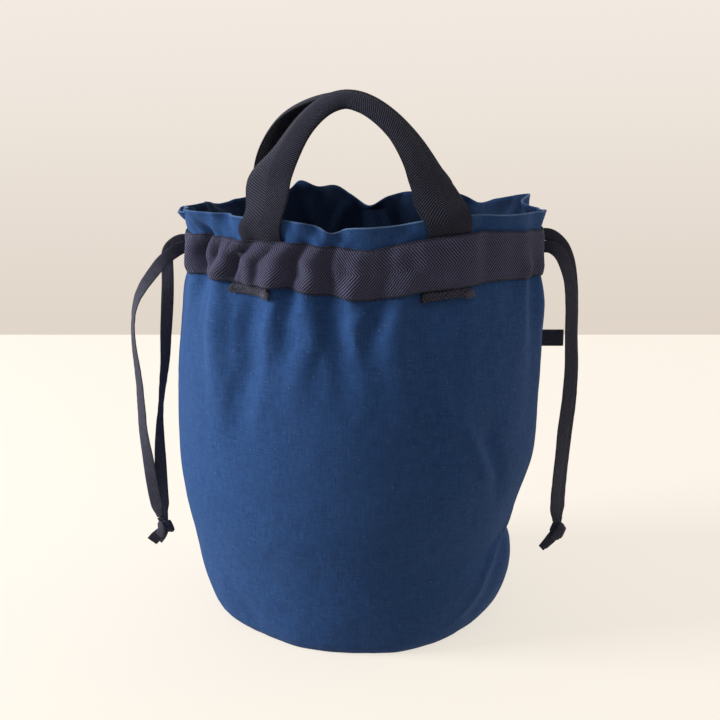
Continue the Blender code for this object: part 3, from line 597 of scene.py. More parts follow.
def wall(angle, z, calm=False):
    """Outer face of the cloth, for arrays of angles and heights. The calm
    form has no folds."""
    angle, z = np.broadcast_arrays(np.asarray(angle, float), np.asarray(z, float))
    left, right, front, back = np.moveaxis(hermite(PROFILE, z), -1, 0)
    s, c = np.sin(np.radians(angle)), np.cos(np.radians(angle))
    half_x = np.where(s > 0, right, left)
    half_y = np.where(c > 0, front, back)
    nx, ny = s / half_x, -c / half_y
    size = np.hypot(nx, ny)
    nx, ny = nx / size, ny / size
    if calm:
        return np.stack([half_x * s, -half_y * c, true_height(angle, z)], -1)
    flat = np.where(z > 0.195, leg_cover(angle, z=z), 0.0)
    below = CASING_LOW - z
    out = np.zeros_like(z)
    for middle, width, height, reach, drift in FOLDS:
        t = np.clip(below / reach, 0.0, 1.0)
        fade = (1.0 - t) ** 1.3 * (0.85 + 0.45 * np.sin(np.pi * np.minimum(1.0, 3 * t)))
        fade = np.where(below > 0, fade, 0.85 - 0.45 * smooth(0.0, 0.030, -below))
        grow = np.where(below > 0, 1.0 + 0.8 * t, 1.0)
        out = out + FOLD_DEPTH * height * fade * hump(angle, middle + drift * t, width * grow)
    for width, rows in FRONT_FOLDS:
        middle, height = np.moveaxis(hermite(rows, z), -1, 0)
        height = np.where(z > rows[-1][0], height * (1.0 - smooth(0.222, 0.236, z)), height)
        out = out + height * hump(angle, middle, width)
    u, v = angle / 360.0, z / 0.27
    near = 1.0 - smooth(0.0, 0.100, below)
    out += 0.00070 * near * lattice(u, v, 84, 4, 11)
    gather = smooth(0.207, 0.221, z) * (1.0 - 0.6 * smooth(0.247, 0.264, z))
    fade = smooth(0.205, 0.222, z) * (1.0 - 0.8 * smooth(0.246, 0.262, z))
    for width, rows in FRONT_PUCKERS:
        middle, height = np.moveaxis(hermite(rows, z), -1, 0)
        out += height * fade * hump(angle, middle, width)
    for middle, lean, width, height in PUCKERS:
        out += height * gather * hump(angle, middle + lean * (z - 0.234) * 100.0, width)
    above = z - CASING_HIGH
    rise = smooth(0.0, RIM_Z - CASING_HIGH, above)
    for middle, width, height in RUFFLE:
        out += height * rise * (1.0 - 0.85 * flat) * hump(angle, middle, width)
    # the ruffle doubles back on itself at the left end
    side = turn(angle + 90.0)
    out -= 0.0106 * rise * smooth(-5.5, -1.0, side) * (1.0 - smooth(4.0, 10.0, side) * 0.5
                                                       - smooth(11.0, 24.0, side) * 0.5)
    slip = 0.0050 * rise * hump(side, -5.5, 7.0) - 0.0045 * rise * hump(side, 8.0, 10.0)
    low = 1.0 - smooth(0.004, 0.040, z)
    for middle, width, height in FOOT:
        out += height * low * hump(angle, middle, width)
    out -= 0.0018 * hump(angle, 92.0, 46.0) * np.exp(-((z - 0.0535) / 0.007) ** 2)
    # slack, wrinkles and cockle of the cloth
    middle_band = smooth(0.012, 0.05, z) * (1.0 - smooth(0.185, 0.212, z))
    out += 0.00050 * middle_band * lattice(u, v, 15, 7, 12)
    out += 0.00030 * smooth(0.003, 0.02, z) * (1.0 - 0.7 * gather) * lattice(u, v, 40, 16, 13)
    out += 0.00010 * lattice(u, v, 120, 46, 16)
    out += 0.00005 * lattice(u, v, 220, 84, 14)
    out += 0.00045 * (1.0 - smooth(0.0, 0.026, z)) * lattice(u, v, 74, 3, 15)
    for rows in CREASES:
        out += crease(rows, angle, z)
    return np.stack([half_x * s + nx * out - ny * slip, -half_y * c + ny * out + nx * slip,
                     true_height(angle, z)], -1)


def wall_normal(angle, z, calm=False):
    angle, z = np.broadcast_arrays(np.asarray(angle, float), np.asarray(z, float))
    across = wall(angle + 0.4, z, calm) - wall(angle - 0.4, z, calm)
    up = (wall(angle, np.minimum(RIM_Z, z + 0.0008), calm)
          - wall(angle, np.maximum(0.0, z - 0.0008), calm))
    return unit(np.cross(across, up))


def wall_off(angle, z, off):
    """Layers under and over the cloth, for the cloth's own inner face."""
    off = np.asarray(off, float)
    return wall(angle, z) + wall_normal(angle, z) * off[..., None]


def laid(angle, z, off):
    """Layers sewn on the cloth. They stand off along the normal of the calm
    form, so that tight folds don't cross."""
    off = np.asarray(off, float)
    return wall(angle, z) + wall_normal(angle, z, True) * off[..., None]


def casing_lift(angle, z):
    over_leg = leg_cover(np.asarray(angle, float), 0.3, 7.0, z)
    edge = GAP + (TAPE + GAP + 0.0006) * over_leg
    middle = edge + CORD_THICK + GAP + 0.0001
    t = (z - CASING_LOW) / (CASING_HIGH - CASING_LOW)
    return edge + (middle - edge) * smooth(0.0, 0.19, t) * smooth(0.0, 0.17, 1.0 - t)


def grid_faces(rows, cols, start=0, close_rows=False, close_cols=False):
    """Quads between rows x cols points; rows or columns may run round."""
    i = np.arange(rows if close_rows else rows - 1)[:, None]
    j = np.arange(cols if close_cols else cols - 1)[None, :]
    i2, j2 = (i + 1) % rows, (j + 1) % cols
    quads = np.stack(np.broadcast_arrays(i * cols + j, i * cols + j2,
                                         i2 * cols + j2, i2 * cols + j), -1)
    return quads.reshape(-1, 4) + start


def make_mesh(name, verts, faces, material, corners=None, attrs=None, extra=()):
    """An object from points and faces. corners holds a UV for each face
    corner, attrs a number for each point."""
    mesh = bpy.data.meshes.new(name)
    quads = np.asarray(faces)
    mesh.from_pydata(np.asarray(verts, float).reshape(-1, 3), [], quads.tolist() + list(extra))
    mesh.shade_smooth()
    if corners is not None:
        layer = mesh.uv_layers.new(name="cloth")
        data = np.zeros((len(mesh.loops), 2), np.float32)
        data[:len(corners)] = corners
        layer.data.foreach_set("uv", data.ravel())
    for key, values in (attrs or {}).items():
        a = mesh.attributes.new(key, "FLOAT", "POINT")
        a.data.foreach_set("value", np.asarray(values, np.float32).ravel())
    points = np.asarray(verts, float).reshape(-1, 3)
    a, b, c, d = (points[quads[:, k]] for k in range(4))
    volume = np.einsum("ij,ij->i", a, np.cross(b, c)).sum() + np.einsum(
        "ij,ij->i", a, np.cross(c, d)).sum()
    if volume < 0:
        mesh.flip_normals()
    mesh.materials.append(material)
    obj = bpy.data.objects.new(name, mesh)
    SCENE.collection.objects.link(obj)
    return obj


def sweep(points, sides, faces_to, half_wide, half_thick, count=16, power=2.6, closed=False):
    """Ring points of a soft-edged flat band along points. sides and faces_to
    are unit vectors across the band and out of its face."""
    t = 2 * np.pi * np.arange(count) / count
    c, s = np.cos(t), np.sin(t)
    x = np.sign(c) * np.abs(c) ** (2.0 / power)
    y = np.sign(s) * np.abs(s) ** (2.0 / power)
    n = len(points)
    wide = np.broadcast_to(np.asarray(half_wide, float), (n,))[:, None, None]
    thick = np.broadcast_to(np.asarray(half_thick, float), (n,))[:, None, None]
    return (points[:, None, :] + sides[:, None, :] * x[None, :, None] * wide
            + faces_to[:, None, :] * y[None, :, None] * thick)


def path_frames(points, toward):
    """Along, across and facing vectors on a line of points; toward says which
    way the flat side looks."""
    along = np.gradient(points, axis=0)
    along = unit(along)
    face = unit(toward - along * np.sum(toward * along, -1, keepdims=True))
    return along, np.cross(along, face), face


def ring_run(points):
    step = np.linalg.norm(np.diff(points, axis=0), axis=1)
    return np.concatenate([[0.0], np.cumsum(step)])


def ease(points, times):
    """Points along a line, smoothed a little, ends kept."""
    for _ in range(times):
        inner = (points[:-2] + 2 * points[1:-1] + points[2:]) / 4
        points = np.concatenate([points[:1], inner, points[-1:]])
    return points


# ------------------------------------------------------------- materials
class Look:
    """A material and short ways to add nodes to it."""

    def __init__(self, name):
        self.mat = bpy.data.materials.new(name)
        self.mat.use_nodes = True
        self.tree = self.mat.node_tree
        self.bsdf = self.tree.nodes["Principled BSDF"]

    def node(self, kind, **settings):
        n = self.tree.nodes.new(kind)
        for key, value in settings.items():
            setattr(n, key, value)
        return n

    def put(self, socket, value):
        if isinstance(value, bpy.types.NodeSocket):
            self.tree.links.new(value, socket)
        elif hasattr(socket.default_value, "__len__") and not hasattr(value, "__len__"):
            socket.default_value = [value] * len(socket.default_value)
        elif hasattr(value, "__len__") and len(value) == 3 and len(socket.default_value) == 4:
            socket.default_value = (*value, 1.0)
        else:
            socket.default_value = value

    def math(self, op, a, b=None, c=None, clamp=False):
        n = self.node("ShaderNodeMath", operation=op, use_clamp=clamp)
        for k, value in enumerate((a, b, c)):
            if value is not None:
                self.put(n.inputs[k], value)
        return n.outputs[0]

    def mix(self, fac, a, b, blend="MIX"):
        n = self.node("ShaderNodeMix", data_type="RGBA", blend_type=blend)
        self.put(n.inputs["Factor"], fac)
        self.put(n.inputs[6], a)
        self.put(n.inputs[7], b)
        return n.outputs[2]

    def noise(self, vector, scale, detail=2.0, rough=0.5, distort=0.0):
        n = self.node("ShaderNodeTexNoise")
        self.put(n.inputs["Vector"], vector)
        self.put(n.inputs["Scale"], scale)
        self.put(n.inputs["Detail"], detail)
        self.put(n.inputs["Roughness"], rough)
        self.put(n.inputs["Distortion"], distort)
        return n.outputs["Fac"]

    def stretch(self, vector, x, y, z=1.0):
        n = self.node("ShaderNodeMapping")
        self.put(n.inputs["Vector"], vector)
        self.put(n.inputs["Scale"], (x, y, z))
        return n.outputs[0]

    def ramp(self, fac, lo, hi, a=0.0, b=1.0):
        n = self.node("ShaderNodeMapRange", clamp=True)
        for k, value in enumerate((fac, lo, hi, a, b)):
            self.put(n.inputs[k], value)
        return n.outputs[0]

    def attribute(self, name):
        return self.node("ShaderNodeAttribute", attribute_name=name).outputs["Fac"]

    def uv(self):
        return self.node("ShaderNodeUVMap", uv_map="cloth").outputs[0]

    def place(self):
        return self.node("ShaderNodeTexCoord").outputs["Object"]

    def bump(self, height, distance, strength=1.0, normal=None):
        n = self.node("ShaderNodeBump")
        self.put(n.inputs["Strength"], strength)
        self.put(n.inputs["Distance"], distance)
        self.put(n.inputs["Height"], height)
        if normal is not None:
            self.put(n.inputs["Normal"], normal)
        return n.outputs[0]

    def finish(self, colour, normal, rough, sheen, sheen_rough, tint, specular=0.3):
        b = self.bsdf.inputs
        self.put(b["Base Color"], colour)
        if normal is not None:
            self.put(b["Normal"], normal)
        self.put(b["Roughness"], rough)
        b["Metallic"].default_value = 0.0
        b["Specular IOR Level"].default_value = specular
        b["Sheen Weight"].default_value = sheen
        b["Sheen Roughness"].default_value = sheen_rough
        b["Sheen Tint"].default_value = (*tint, 1.0)
        return self.mat


def canvas_look():
    k = Look("canvas_indigo")
    uv, place = k.uv(), k.place()
    split = k.node("ShaderNodeSeparateXYZ")
    k.put(split.inputs[0], uv)
    u, v = split.outputs[0], split.outputs[1]
    # threads: plain weave, uneven yarns
    across = k.noise(k.stretch(uv, 95.0, 1150.0), 1.0, 3.0, 0.6)
    along = k.noise(k.stretch(uv, 1150.0, 95.0), 1.0, 3.0, 0.6)
    fleck = k.noise(k.stretch(uv, 900.0, 900.0), 1.0, 2.0, 0.55)
    mottle = k.noise(place, 240.0, 3.0, 0.6)
    wash = k.noise(place, 15.0, 3.0, 0.55)
    wu = k.math("SINE", k.math("MULTIPLY", u, 2 * math.pi / 0.0011))
    wv = k.math("SINE", k.math("MULTIPLY", v, 2 * math.pi / 0.0011))
    weave = k.math("MULTIPLY", wu, wv)
    # colour
    yarn = k.math("ADD", k.math("MULTIPLY", across, 0.5), k.math("MULTIPLY", along, 0.5))
    tone = k.math("ADD", k.math("MULTIPLY", yarn, 0.55), k.math("MULTIPLY", fleck, 0.25))
    tone = k.math("ADD", tone, k.math("MULTIPLY", mottle, 0.20))
    fac = k.ramp(tone, 0.36, 0.64)
    colour = k.mix(fac, (0.0125, 0.040, 0.128), (0.033, 0.098, 0.275))
    colour = k.mix(k.ramp(wash, 0.30, 0.72, 0.0, 0.38), colour, (0.036, 0.092, 0.235))
    # pale flecks of undyed fibre
    cells = k.node("ShaderNodeTexVoronoi", feature="F1")
    k.put(cells.inputs["Vector"], k.stretch(uv, 360.0, 420.0))
    k.put(cells.inputs["Scale"], 1.0)
    picked = k.node("ShaderNodeSeparateColor")
    k.put(picked.inputs[0], cells.outputs["Color"])
    near = k.ramp(cells.outputs["Distance"], 0.09, 0.17, 1.0, 0.0)
    chosen = k.math("GREATER_THAN", picked.outputs[0], 0.86)
    colour = k.mix(k.math("MULTIPLY", k.math("MULTIPLY", near, chosen), 0.42),
                   colour, (0.26, 0.30, 0.36))
    # pale edge of the hem: partly real wear, partly a painted highlight where the fold catches light
    colour = k.mix(k.math("MULTIPLY", k.attribute("wear_and_highlight"), 0.55), colour, (0.20, 0.29, 0.44))
    # painted shade darkens the inside face of the cloth
    colour = k.mix(k.math("MULTIPLY", k.attribute("inside"), 0.70), colour, (0.009, 0.011, 0.018))
    height = k.math("ADD", k.math("MULTIPLY", weave, 0.25), k.math("MULTIPLY", yarn, 1.3))
    normal = k.bump(height, 0.00016, 0.9)
    normal = k.bump(mottle, 0.0006, 0.55, normal)
    rough = k.ramp(fac, 0.0, 1.0, 0.93, 0.84)
    return k.finish(colour, normal, rough, 0.05, 0.5, (0.55, 0.68, 1.0), 0.12)


def tape_look(name, painted_groove_shade, painted_crest_highlight, bump=1.0):
    """Herringbone tape: ridges from the attribute ridge, yarns from the UV. The crests are painted in a
    highlight colour and the grooves in a shade colour.
    """
    k = Look(name)
    uv, place = k.uv(), k.place()
    split = k.node("ShaderNodeSeparateXYZ")
    k.put(split.inputs[0], uv)
    v = split.outputs[1]
    ridge = k.math("ABSOLUTE", k.math("SINE", k.math("MULTIPLY", k.attribute("ridge"), math.pi)))
    crest = k.ramp(ridge, 0.36, 0.95)
    yarn = k.noise(k.stretch(uv, 160.0, 2100.0), 1.0, 2.0, 0.6)
    grain = k.noise(place, 1300.0, 2.0, 0.55)
    wash = k.noise(place, 42.0, 3.0, 0.6)
    plain = k.attribute("selvedge")
    fac = k.math("MULTIPLY", crest, k.math("SUBTRACT", 1.0, k.math("MULTIPLY", plain, 0.65)))
    fac = k.math("ADD", k.math("MULTIPLY", fac, 0.86), k.math("MULTIPLY", yarn, 0.22))
    # painted highlight on the ridge crests, painted shade in the grooves
    colour = k.mix(k.ramp(fac, 0.16, 1.04), painted_groove_shade, painted_crest_highlight)
    colour = k.mix(k.ramp(wash, 0.3, 0.75, 0.0, 0.22), colour,
                   (painted_crest_highlight[0] * 0.80, painted_crest_highlight[1] * 0.84, painted_crest_highlight[2] * 0.90))
    colour = k.mix(k.ramp(grain, 0.58, 0.80, 0.0, 0.35), colour,
                   (painted_crest_highlight[0] * 1.6, painted_crest_highlight[1] * 1.6, painted_crest_highlight[2] * 1.5))
    lines = k.math("SINE", k.math("MULTIPLY", v, 2 * math.pi / 0.00052))
    height = k.math("ADD", k.math("MULTIPLY", crest, 0.8),
                    k.math("ADD", k.math("MULTIPLY", lines, 0.12), k.math("MULTIPLY", grain, 0.9)))
    normal = k.bump(height, 0.00022, 0.9 * bump)
    return k.finish(colour, normal, 0.88, 0.10, 0.5, (0.72, 0.72, 0.90), 0.20)


def cord_look():
    k = Look("cotton_cord")
    uv, place = k.uv(), k.place()
    split = k.node("ShaderNodeSeparateXYZ")
    k.put(split.inputs[0], uv)
    u, v = split.outputs[0], split.outputs[1]
    ribs = k.math("SINE", k.math("MULTIPLY", v, 2 * math.pi / 0.00095))
    picks = k.math("SINE", k.math("MULTIPLY", u, 2 * math.pi / 0.00085))
    yarn = k.noise(k.stretch(uv, 220.0, 1500.0), 1.0, 2.0, 0.6)
    grain = k.noise(place, 1100.0, 2.0, 0.6)
    wash = k.noise(place, 50.0, 3.0, 0.6)
    fac = k.math("ADD", k.math("MULTIPLY", ribs, 0.16), k.math("MULTIPLY", yarn, 0.9))
    colour = k.mix(k.ramp(fac, 0.15, 0.85), (0.020, 0.020, 0.033), (0.084, 0.082, 0.120))
    colour = k.mix(k.ramp(wash, 0.35, 0.7, 0.0, 0.35), colour, (0.056, 0.056, 0.082))
    height = k.math("ADD", k.math("MULTIPLY", ribs, 0.35),
                    k.math("ADD", k.math("MULTIPLY", picks, 0.15), grain))
    normal = k.bump(height, 0.00016, 0.9)
    return k.finish(colour, normal, 0.86, 0.08, 0.5, (0.75, 0.75, 0.9), 0.22)


def thread_look():
    k = Look("sewing_thread")
    place = k.place()
    twist = k.noise(place, 2600.0, 2.0, 0.6)
    shade = k.noise(place, 160.0, 2.0, 0.5)
    colour = k.mix(k.ramp(twist, 0.35, 0.65), (0.016, 0.016, 0.026), (0.110, 0.105, 0.155))
    colour = k.mix(k.ramp(shade, 0.4, 0.7, 0.0, 0.4), colour, (0.040, 0.034, 0.058))
    normal = k.bump(twist, 0.00015, 0.8)
    return k.finish(colour, normal, 0.62, 0.05, 0.4, (0.8, 0.8, 0.9), 0.35)


CANVAS = canvas_look()
# each tape gets a painted shade colour for its grooves and a painted highlight colour for its crests
HERRINGBONE = tape_look("herringbone_tape", (0.0008, 0.0008, 0.0020), (0.112, 0.109, 0.195))
HANDLE_TAPE = tape_look("handle_tape", (0.0006, 0.0006, 0.0011), (0.044, 0.044, 0.074))
CORD = cord_look()
THREAD = thread_look()


# ----------------------------------------------------------------- camera
cam = bpy.data.cameras.new("camera")
cam.lens = 70.0
cam.sensor_width = 36.0
cam.clip_start = 0.05
cam.clip_end = 30.0
camera = bpy.data.objects.new("camera", cam)
camera.location = (0.0, -0.886, 0.3834)
camera.rotation_euler = (math.radians(90.0 - 14.04), 0.0, 0.0)
SCENE.collection.objects.link(camera)
SCENE.camera = camera


# ------------------------------------------------------------------ cords
def strand(name, rows):
    """A flat woven cord whose broad side turns along the way."""
    keyed = np.array(rows, float)
    keyed = np.concatenate([ring_run(keyed[:, :3])[:, None], keyed], 1)
    count = 230
    at = np.linspace(0.0, keyed[-1, 0], count)
    line = hermite(keyed, at)
    points = ease(line[:, :3], 6)
    look = np.radians(ease(line[:, 3:], 12)[:, 0])
    toward = np.stack([np.sin(look), -np.cos(look), np.zeros(count)], -1)
    along, side, face = path_frames(points, toward)
    seed = sum(map(ord, name))
    t = at / keyed[-1, 0]
    wide = CORD_WIDTH / 2 * (1.0 + 0.03 * lattice(t, t * 0, 24, 1, seed))
    pinch = smooth(0.955, 1.0, t)
    wide = wide * (1.0 - 0.42 * pinch)
    n = 22
    ring = sweep(points, side, face, wide, CORD_THICK / 2 * (1.0 + 0.9 * pinch), n, 5.0)
    # the band cups a little across, and its edges wander
    local = np.einsum("ijk,ik->ij", ring - points[:, None, :], side)
    cup = (0.10 + 0.10 * lattice(t, t * 0, 10, 1, seed + 5) + 0.9 * pinch)[:, None]
    ring = ring + face[:, None, :] * (-(local / (CORD_WIDTH / 2)) ** 2 * cup * 0.0009)[..., None]
    ring = ring + face[:, None, :] * (0.00010 * lattice(t * 1.0, t * 0, 90, 1, seed + 9))[:, None, None]
    verts = ring.reshape(-1, 3)
    faces = grid_faces(count, n, close_cols=True)
    i = np.arange(count - 1)[:, None] * np.ones(n)[None, :]
    uu = at
    width_at = np.concatenate([local, local[:, :1]], 1)
    c00 = np.stack([np.repeat(uu[:-1, None], n, 1), width_at[:-1, :-1]], -1)
    c01 = np.stack([np.repeat(uu[:-1, None], n, 1), width_at[:-1, 1:]], -1)
    c11 = np.stack([np.repeat(uu[1:, None], n, 1), width_at[1:, 1:]], -1)
    c10 = np.stack([np.repeat(uu[1:, None], n, 1), width_at[1:, :-1]], -1)
    corners = np.stack([c00, c01, c11, c10], 2).reshape(-1, 2)
    caps = [tuple(range(n))[::-1], tuple(range((count - 1) * n, count * n))]
    obj = make_mesh(name + "_cord", verts, faces, CORD, corners=corners, extra=caps)
    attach(obj, "root")
    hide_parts(name)
    return obj, points, keyed[-1, 0]


cords = {name: strand(name, rows) for name, rows in STRANDS.items()}


def band_mesh(name, bands, material):
    """Several soft bands joined in one object. Each band is (points, toward,
    half widths, half thicknesses, closed)."""
    verts, faces, corners, extra, start = [], [], [], [], 0
    cap_list = []
    for points, toward, wide, thick, closed in bands:
        n = 18
        count = len(points)
        if closed:
            along = unit(np.roll(points, -1, 0) - np.roll(points, 1, 0))
            face = unit(toward - along * np.sum(toward * along, -1, keepdims=True))
            side = np.cross(along, face)
        else:
            along, side, face = path_frames(points, toward)
        ring = sweep(points, side, face, wide, thick, n, 3.0)
        verts.append(ring.reshape(-1, 3))
        faces.append(grid_faces(count, n, start, close_rows=closed, close_cols=True))
        local = np.einsum("ijk,ik->ij", ring - points[:, None, :], side)
        local = np.concatenate([local, local[:, :1]], 1)
        run = ring_run(np.concatenate([points, points[:1]]) if closed else points)
        if closed:
            local = np.concatenate([local, local[:1]], 0)
        a = np.repeat(run[:, None], n + 1, 1)
        c = np.stack([a, local], -1)
        quad = np.stack([c[:-1, :-1], c[:-1, 1:], c[1:, 1:], c[1:, :-1]], 2)
        corners.append(quad.reshape(-1, 2))
        if not closed:
            cap_list.append(tuple(range(start, start + n))[::-1])
            cap_list.append(tuple(range(start + (count - 1) * n, start + count * n)))
        start += count * n
    return make_mesh(name, np.concatenate(verts), np.concatenate(faces), material,
                     corners=np.concatenate(corners), extra=cap_list)


def spline(rows, count):
    rows = np.array(rows, float)
    keyed = np.concatenate([ring_run(rows[:, :3])[:, None], rows], 1)
    return ease(hermite(keyed, np.linspace(0.0, keyed[-1, 0], count)), 2)


def knot(name, neck, middle, wrap, cross, tails):
    """An overhand knot of the two strands: a core, a band wrapped round it, a
    second turn laid across its face, and the flat tails."""
    bands = []
    for rows in neck + tails:
        line = spline(rows, 40)
        face = np.stack([np.sin(line[:, 5]), -np.cos(line[:, 5]), np.zeros(40)], -1)
        bands.append((line[:, :3], face, line[:, 3], line[:, 4], False))
    # the wrapped band: a tilted ring round the core
    radius, tilt, lean, wide, thick = wrap
    t = np.linspace(0, 2 * np.pi, 64, endpoint=False)
    axis = Vector((math.sin(lean), 0.25, math.cos(lean))).normalized()
    ref = axis.cross(Vector((0, 1, 0))).normalized()
    other = axis.cross(ref).normalized()
    out = (np.cos(t)[:, None] * np.array(ref)[None, :]
           + np.sin(t)[:, None] * np.array(other)[None, :] * 0.86)
    lift = np.array(axis)[None, :] * (np.sin(t + 0.6) * tilt)[:, None]
    ring = np.array(middle)[None, :] + out * radius + lift
    swell = 1.0 + 0.10 * np.sin(2 * t + 0.8) + 0.05 * np.sin(5 * t)
    bands.append((ring, out, wide * swell, thick * np.ones(64), True))
    line = spline(cross, 40)
    out = line[:, :3] - np.array(middle)[None, :]
    bands.append((line[:, :3], unit(out), line[:, 3], line[:, 4], False))
    obj = band_mesh(name + "_turns", bands, CORD)
    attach(obj, "root")
    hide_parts(name)
    return obj


knots = {
    # rows of a band: x, y, z, half width, half thickness, face (radians)
    "knot_left": knot(
        "knot_left",
        neck=[[(-0.1310, -0.0180, 0.0600, 0.0026, 0.0008, 0.1),
               (-0.1300, -0.0176, 0.0575, 0.0024, 0.0010, 0.1),
               (-0.1294, -0.0168, 0.0545, 0.0026, 0.0012, 0.0),
               (-0.1290, -0.0164, 0.0510, 0.0030, 0.0014, 0.0)],
              [(-0.1291, -0.0140, 0.0604, 0.0024, 0.0008, 0.0),
               (-0.1290, -0.0148, 0.0575, 0.0024, 0.0010, 0.0),
               (-0.1288, -0.0156, 0.0545, 0.0026, 0.0012, 0.0)]],
        middle=(-0.1278, -0.0164, 0.0528),
        wrap=(0.0030, 0.0012, -0.45, 0.0036, 0.0015),
        cross=[(-0.1316, -0.0196, 0.0565, 0.0018, 0.0009),
               (-0.1304, -0.0216, 0.0545, 0.0026, 0.0011),
               (-0.1300, -0.0222, 0.0522, 0.0030, 0.0012),
               (-0.1308, -0.0212, 0.0498, 0.0030, 0.0011),
               (-0.1322, -0.0196, 0.0482, 0.0026, 0.0009)],
        tails=[[(-0.1296, -0.0168, 0.0510, 0.0030, 0.0012, 0.1),
                (-0.1318, -0.0178, 0.0488, 0.0036, 0.0009, 0.2),
                (-0.1346, -0.0184, 0.0462, 0.0040, 0.0006, 0.3),
                (-0.1372, -0.0188, 0.0434, 0.0040, 0.0005, 0.4)],
               [(-0.1290, -0.0160, 0.0500, 0.0028, 0.0012, -0.2),
                (-0.1306, -0.0166, 0.0478, 0.0034, 0.0008, -0.3),
                (-0.1322, -0.0172, 0.0456, 0.0036, 0.0006, -0.5),
                (-0.1334, -0.0176, 0.0438, 0.0036, 0.0005, -0.6)]]),
    "knot_right": knot(
        "knot_right",
        neck=[[(0.1292, -0.0150, 0.0575, 0.0026, 0.0008, 0.2),
               (0.1300, -0.0146, 0.0552, 0.0024, 0.0010, 0.1),
               (0.1306, -0.0140, 0.0524, 0.0028, 0.0012, 0.0),
               (0.1306, -0.0136, 0.0490, 0.0032, 0.0014, 0.0)],
              [(0.1317, -0.0110, 0.0575, 0.0026, 0.0008, 0.2),
               (0.1312, -0.0118, 0.0552, 0.0024, 0.0010, 0.1),
               (0.1308, -0.0126, 0.0524, 0.0028, 0.0012, 0.0)]],
        middle=(0.1310, -0.0136, 0.0498),
        wrap=(0.0034, 0.0013, 0.50, 0.0040, 0.0016),
        cross=[(0.1330, -0.0168, 0.0540, 0.0020, 0.0009),
               (0.1318, -0.0192, 0.0520, 0.0028, 0.0012),
               (0.1306, -0.0199, 0.0494, 0.0032, 0.0012),
               (0.1290, -0.0190, 0.0468, 0.0030, 0.0011),
               (0.1272, -0.0172, 0.0450, 0.0026, 0.0009)],
        tails=[[(0.1300, -0.0140, 0.0480, 0.0032, 0.0012, -0.2),
                (0.1272, -0.0148, 0.0448, 0.0034, 0.0009, -0.3),
                (0.1236, -0.0158, 0.0412, 0.0028, 0.0007, -0.5),
                (0.1198, -0.0166, 0.0376, 0.0022, 0.0006, -0.6)],
               [(0.1304, -0.0132, 0.0470, 0.0030, 0.0012, 0.5),
                (0.1284, -0.0136, 0.0436, 0.0030, 0.0009, 0.6),
                (0.1256, -0.0142, 0.0404, 0.0026, 0.0007, 0.7),
                (0.1226, -0.0148, 0.0374, 0.0022, 0.0006, 0.8)]]),
}


# ---------------------------------------------------------------- the bag
def build_bag():
    around = 480
    angle = 360.0 * np.arange(around) / around - 180.0
    zs = np.concatenate([np.linspace(0.0, 0.016, 13)[:-1], np.linspace(0.016, 0.204, 88)[:-1],
                         np.linspace(0.204, 0.2600, 44)[:-1], np.linspace(0.2600, 0.2634, 6)[:-1], [0.2634, 0.26375, RIM_Z]])
    inner_zs = np.concatenate([np.linspace(0.0035, 0.19, 33)[:-1], np.linspace(0.19, RIM_Z, 22)])[::-1]
    A, Z = np.meshgrid(angle, zs)
    outer = wall(A, Z)
    normal = wall_normal(A, Z)
    # rolled hem along the mouth: slightly thicker, with a soft step below it
    hem = smooth(0.2621, 0.2626, Z) * 0.00022
    outer = outer + normal * hem[..., None]
    rim = rim_height(angle)
    top = wall_off(angle, np.full(around, RIM_Z), np.full(around, -CLOTH * 0.15))
    top2 = wall_off(angle, np.full(around, RIM_Z), np.full(around, -CLOTH * 0.85))
    top[:, 2] = rim + 0.00045
    top2[:, 2] = rim + 0.00045
    Ai, Zi = np.meshgrid(angle, inner_zs)
    inner = wall_off(Ai, Zi, np.full(Ai.shape, -CLOTH))
    foot = wall(angle, np.zeros(around))
    foot[:, 2] = 0.0
    flat = foot.copy()
    foot = flat - unit(flat) * 0.0030
    verts = np.concatenate([outer, top[None], top2[None], inner, foot[None]], 0)
    rows = verts.shape[0]
    faces = grid_faces(rows, around, close_rows=True, close_cols=True)
    # UV in metres: round the bag and up the wall
    length = np.concatenate([zs, [zs[-1] + .001, zs[-1] + .002],
                             zs[-1] + .003 + (RIM_Z - inner_zs), [zs[-1] + .27]])
    length = np.concatenate([length, [length[-1] + .003]])
    u = np.arange(around + 1) * (0.69 / around)
    c = np.stack(np.meshgrid(u, length), -1)
    quad = np.stack([c[:-1, :-1], c[:-1, 1:], c[1:, 1:], c[1:, :-1]], 2)
    # the hem's edge rows: real wear and a painted highlight, unevenly spread round the rim
    wear_and_highlight = np.zeros((rows, around))
    n = len(zs)
    wear_and_highlight[n - 1:n + 2] = 1.0
    wear_and_highlight[n - 2] = 0.35
    uneven_wear_and_highlight = 0.62 + 0.38 * lattice(angle / 360.0, angle * 0, 60, 1, 77)
    wear_and_highlight *= np.clip(uneven_wear_and_highlight, 0.2, 1.0)[None, :]
    # the inner face of the wall is marked for painted shade
    inside = np.zeros((rows, around))
    inside[n + 3:rows - 1] = 1.0
    inside[n + 2] = 0.5
    obj = make_mesh("bag_cloth", verts, faces, CANVAS, corners=quad.reshape(-1, 2),
                    attrs={"wear_and_highlight": wear_and_highlight, "inside": inside})
    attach(obj, "root")
    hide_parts("body_panel")
    return obj


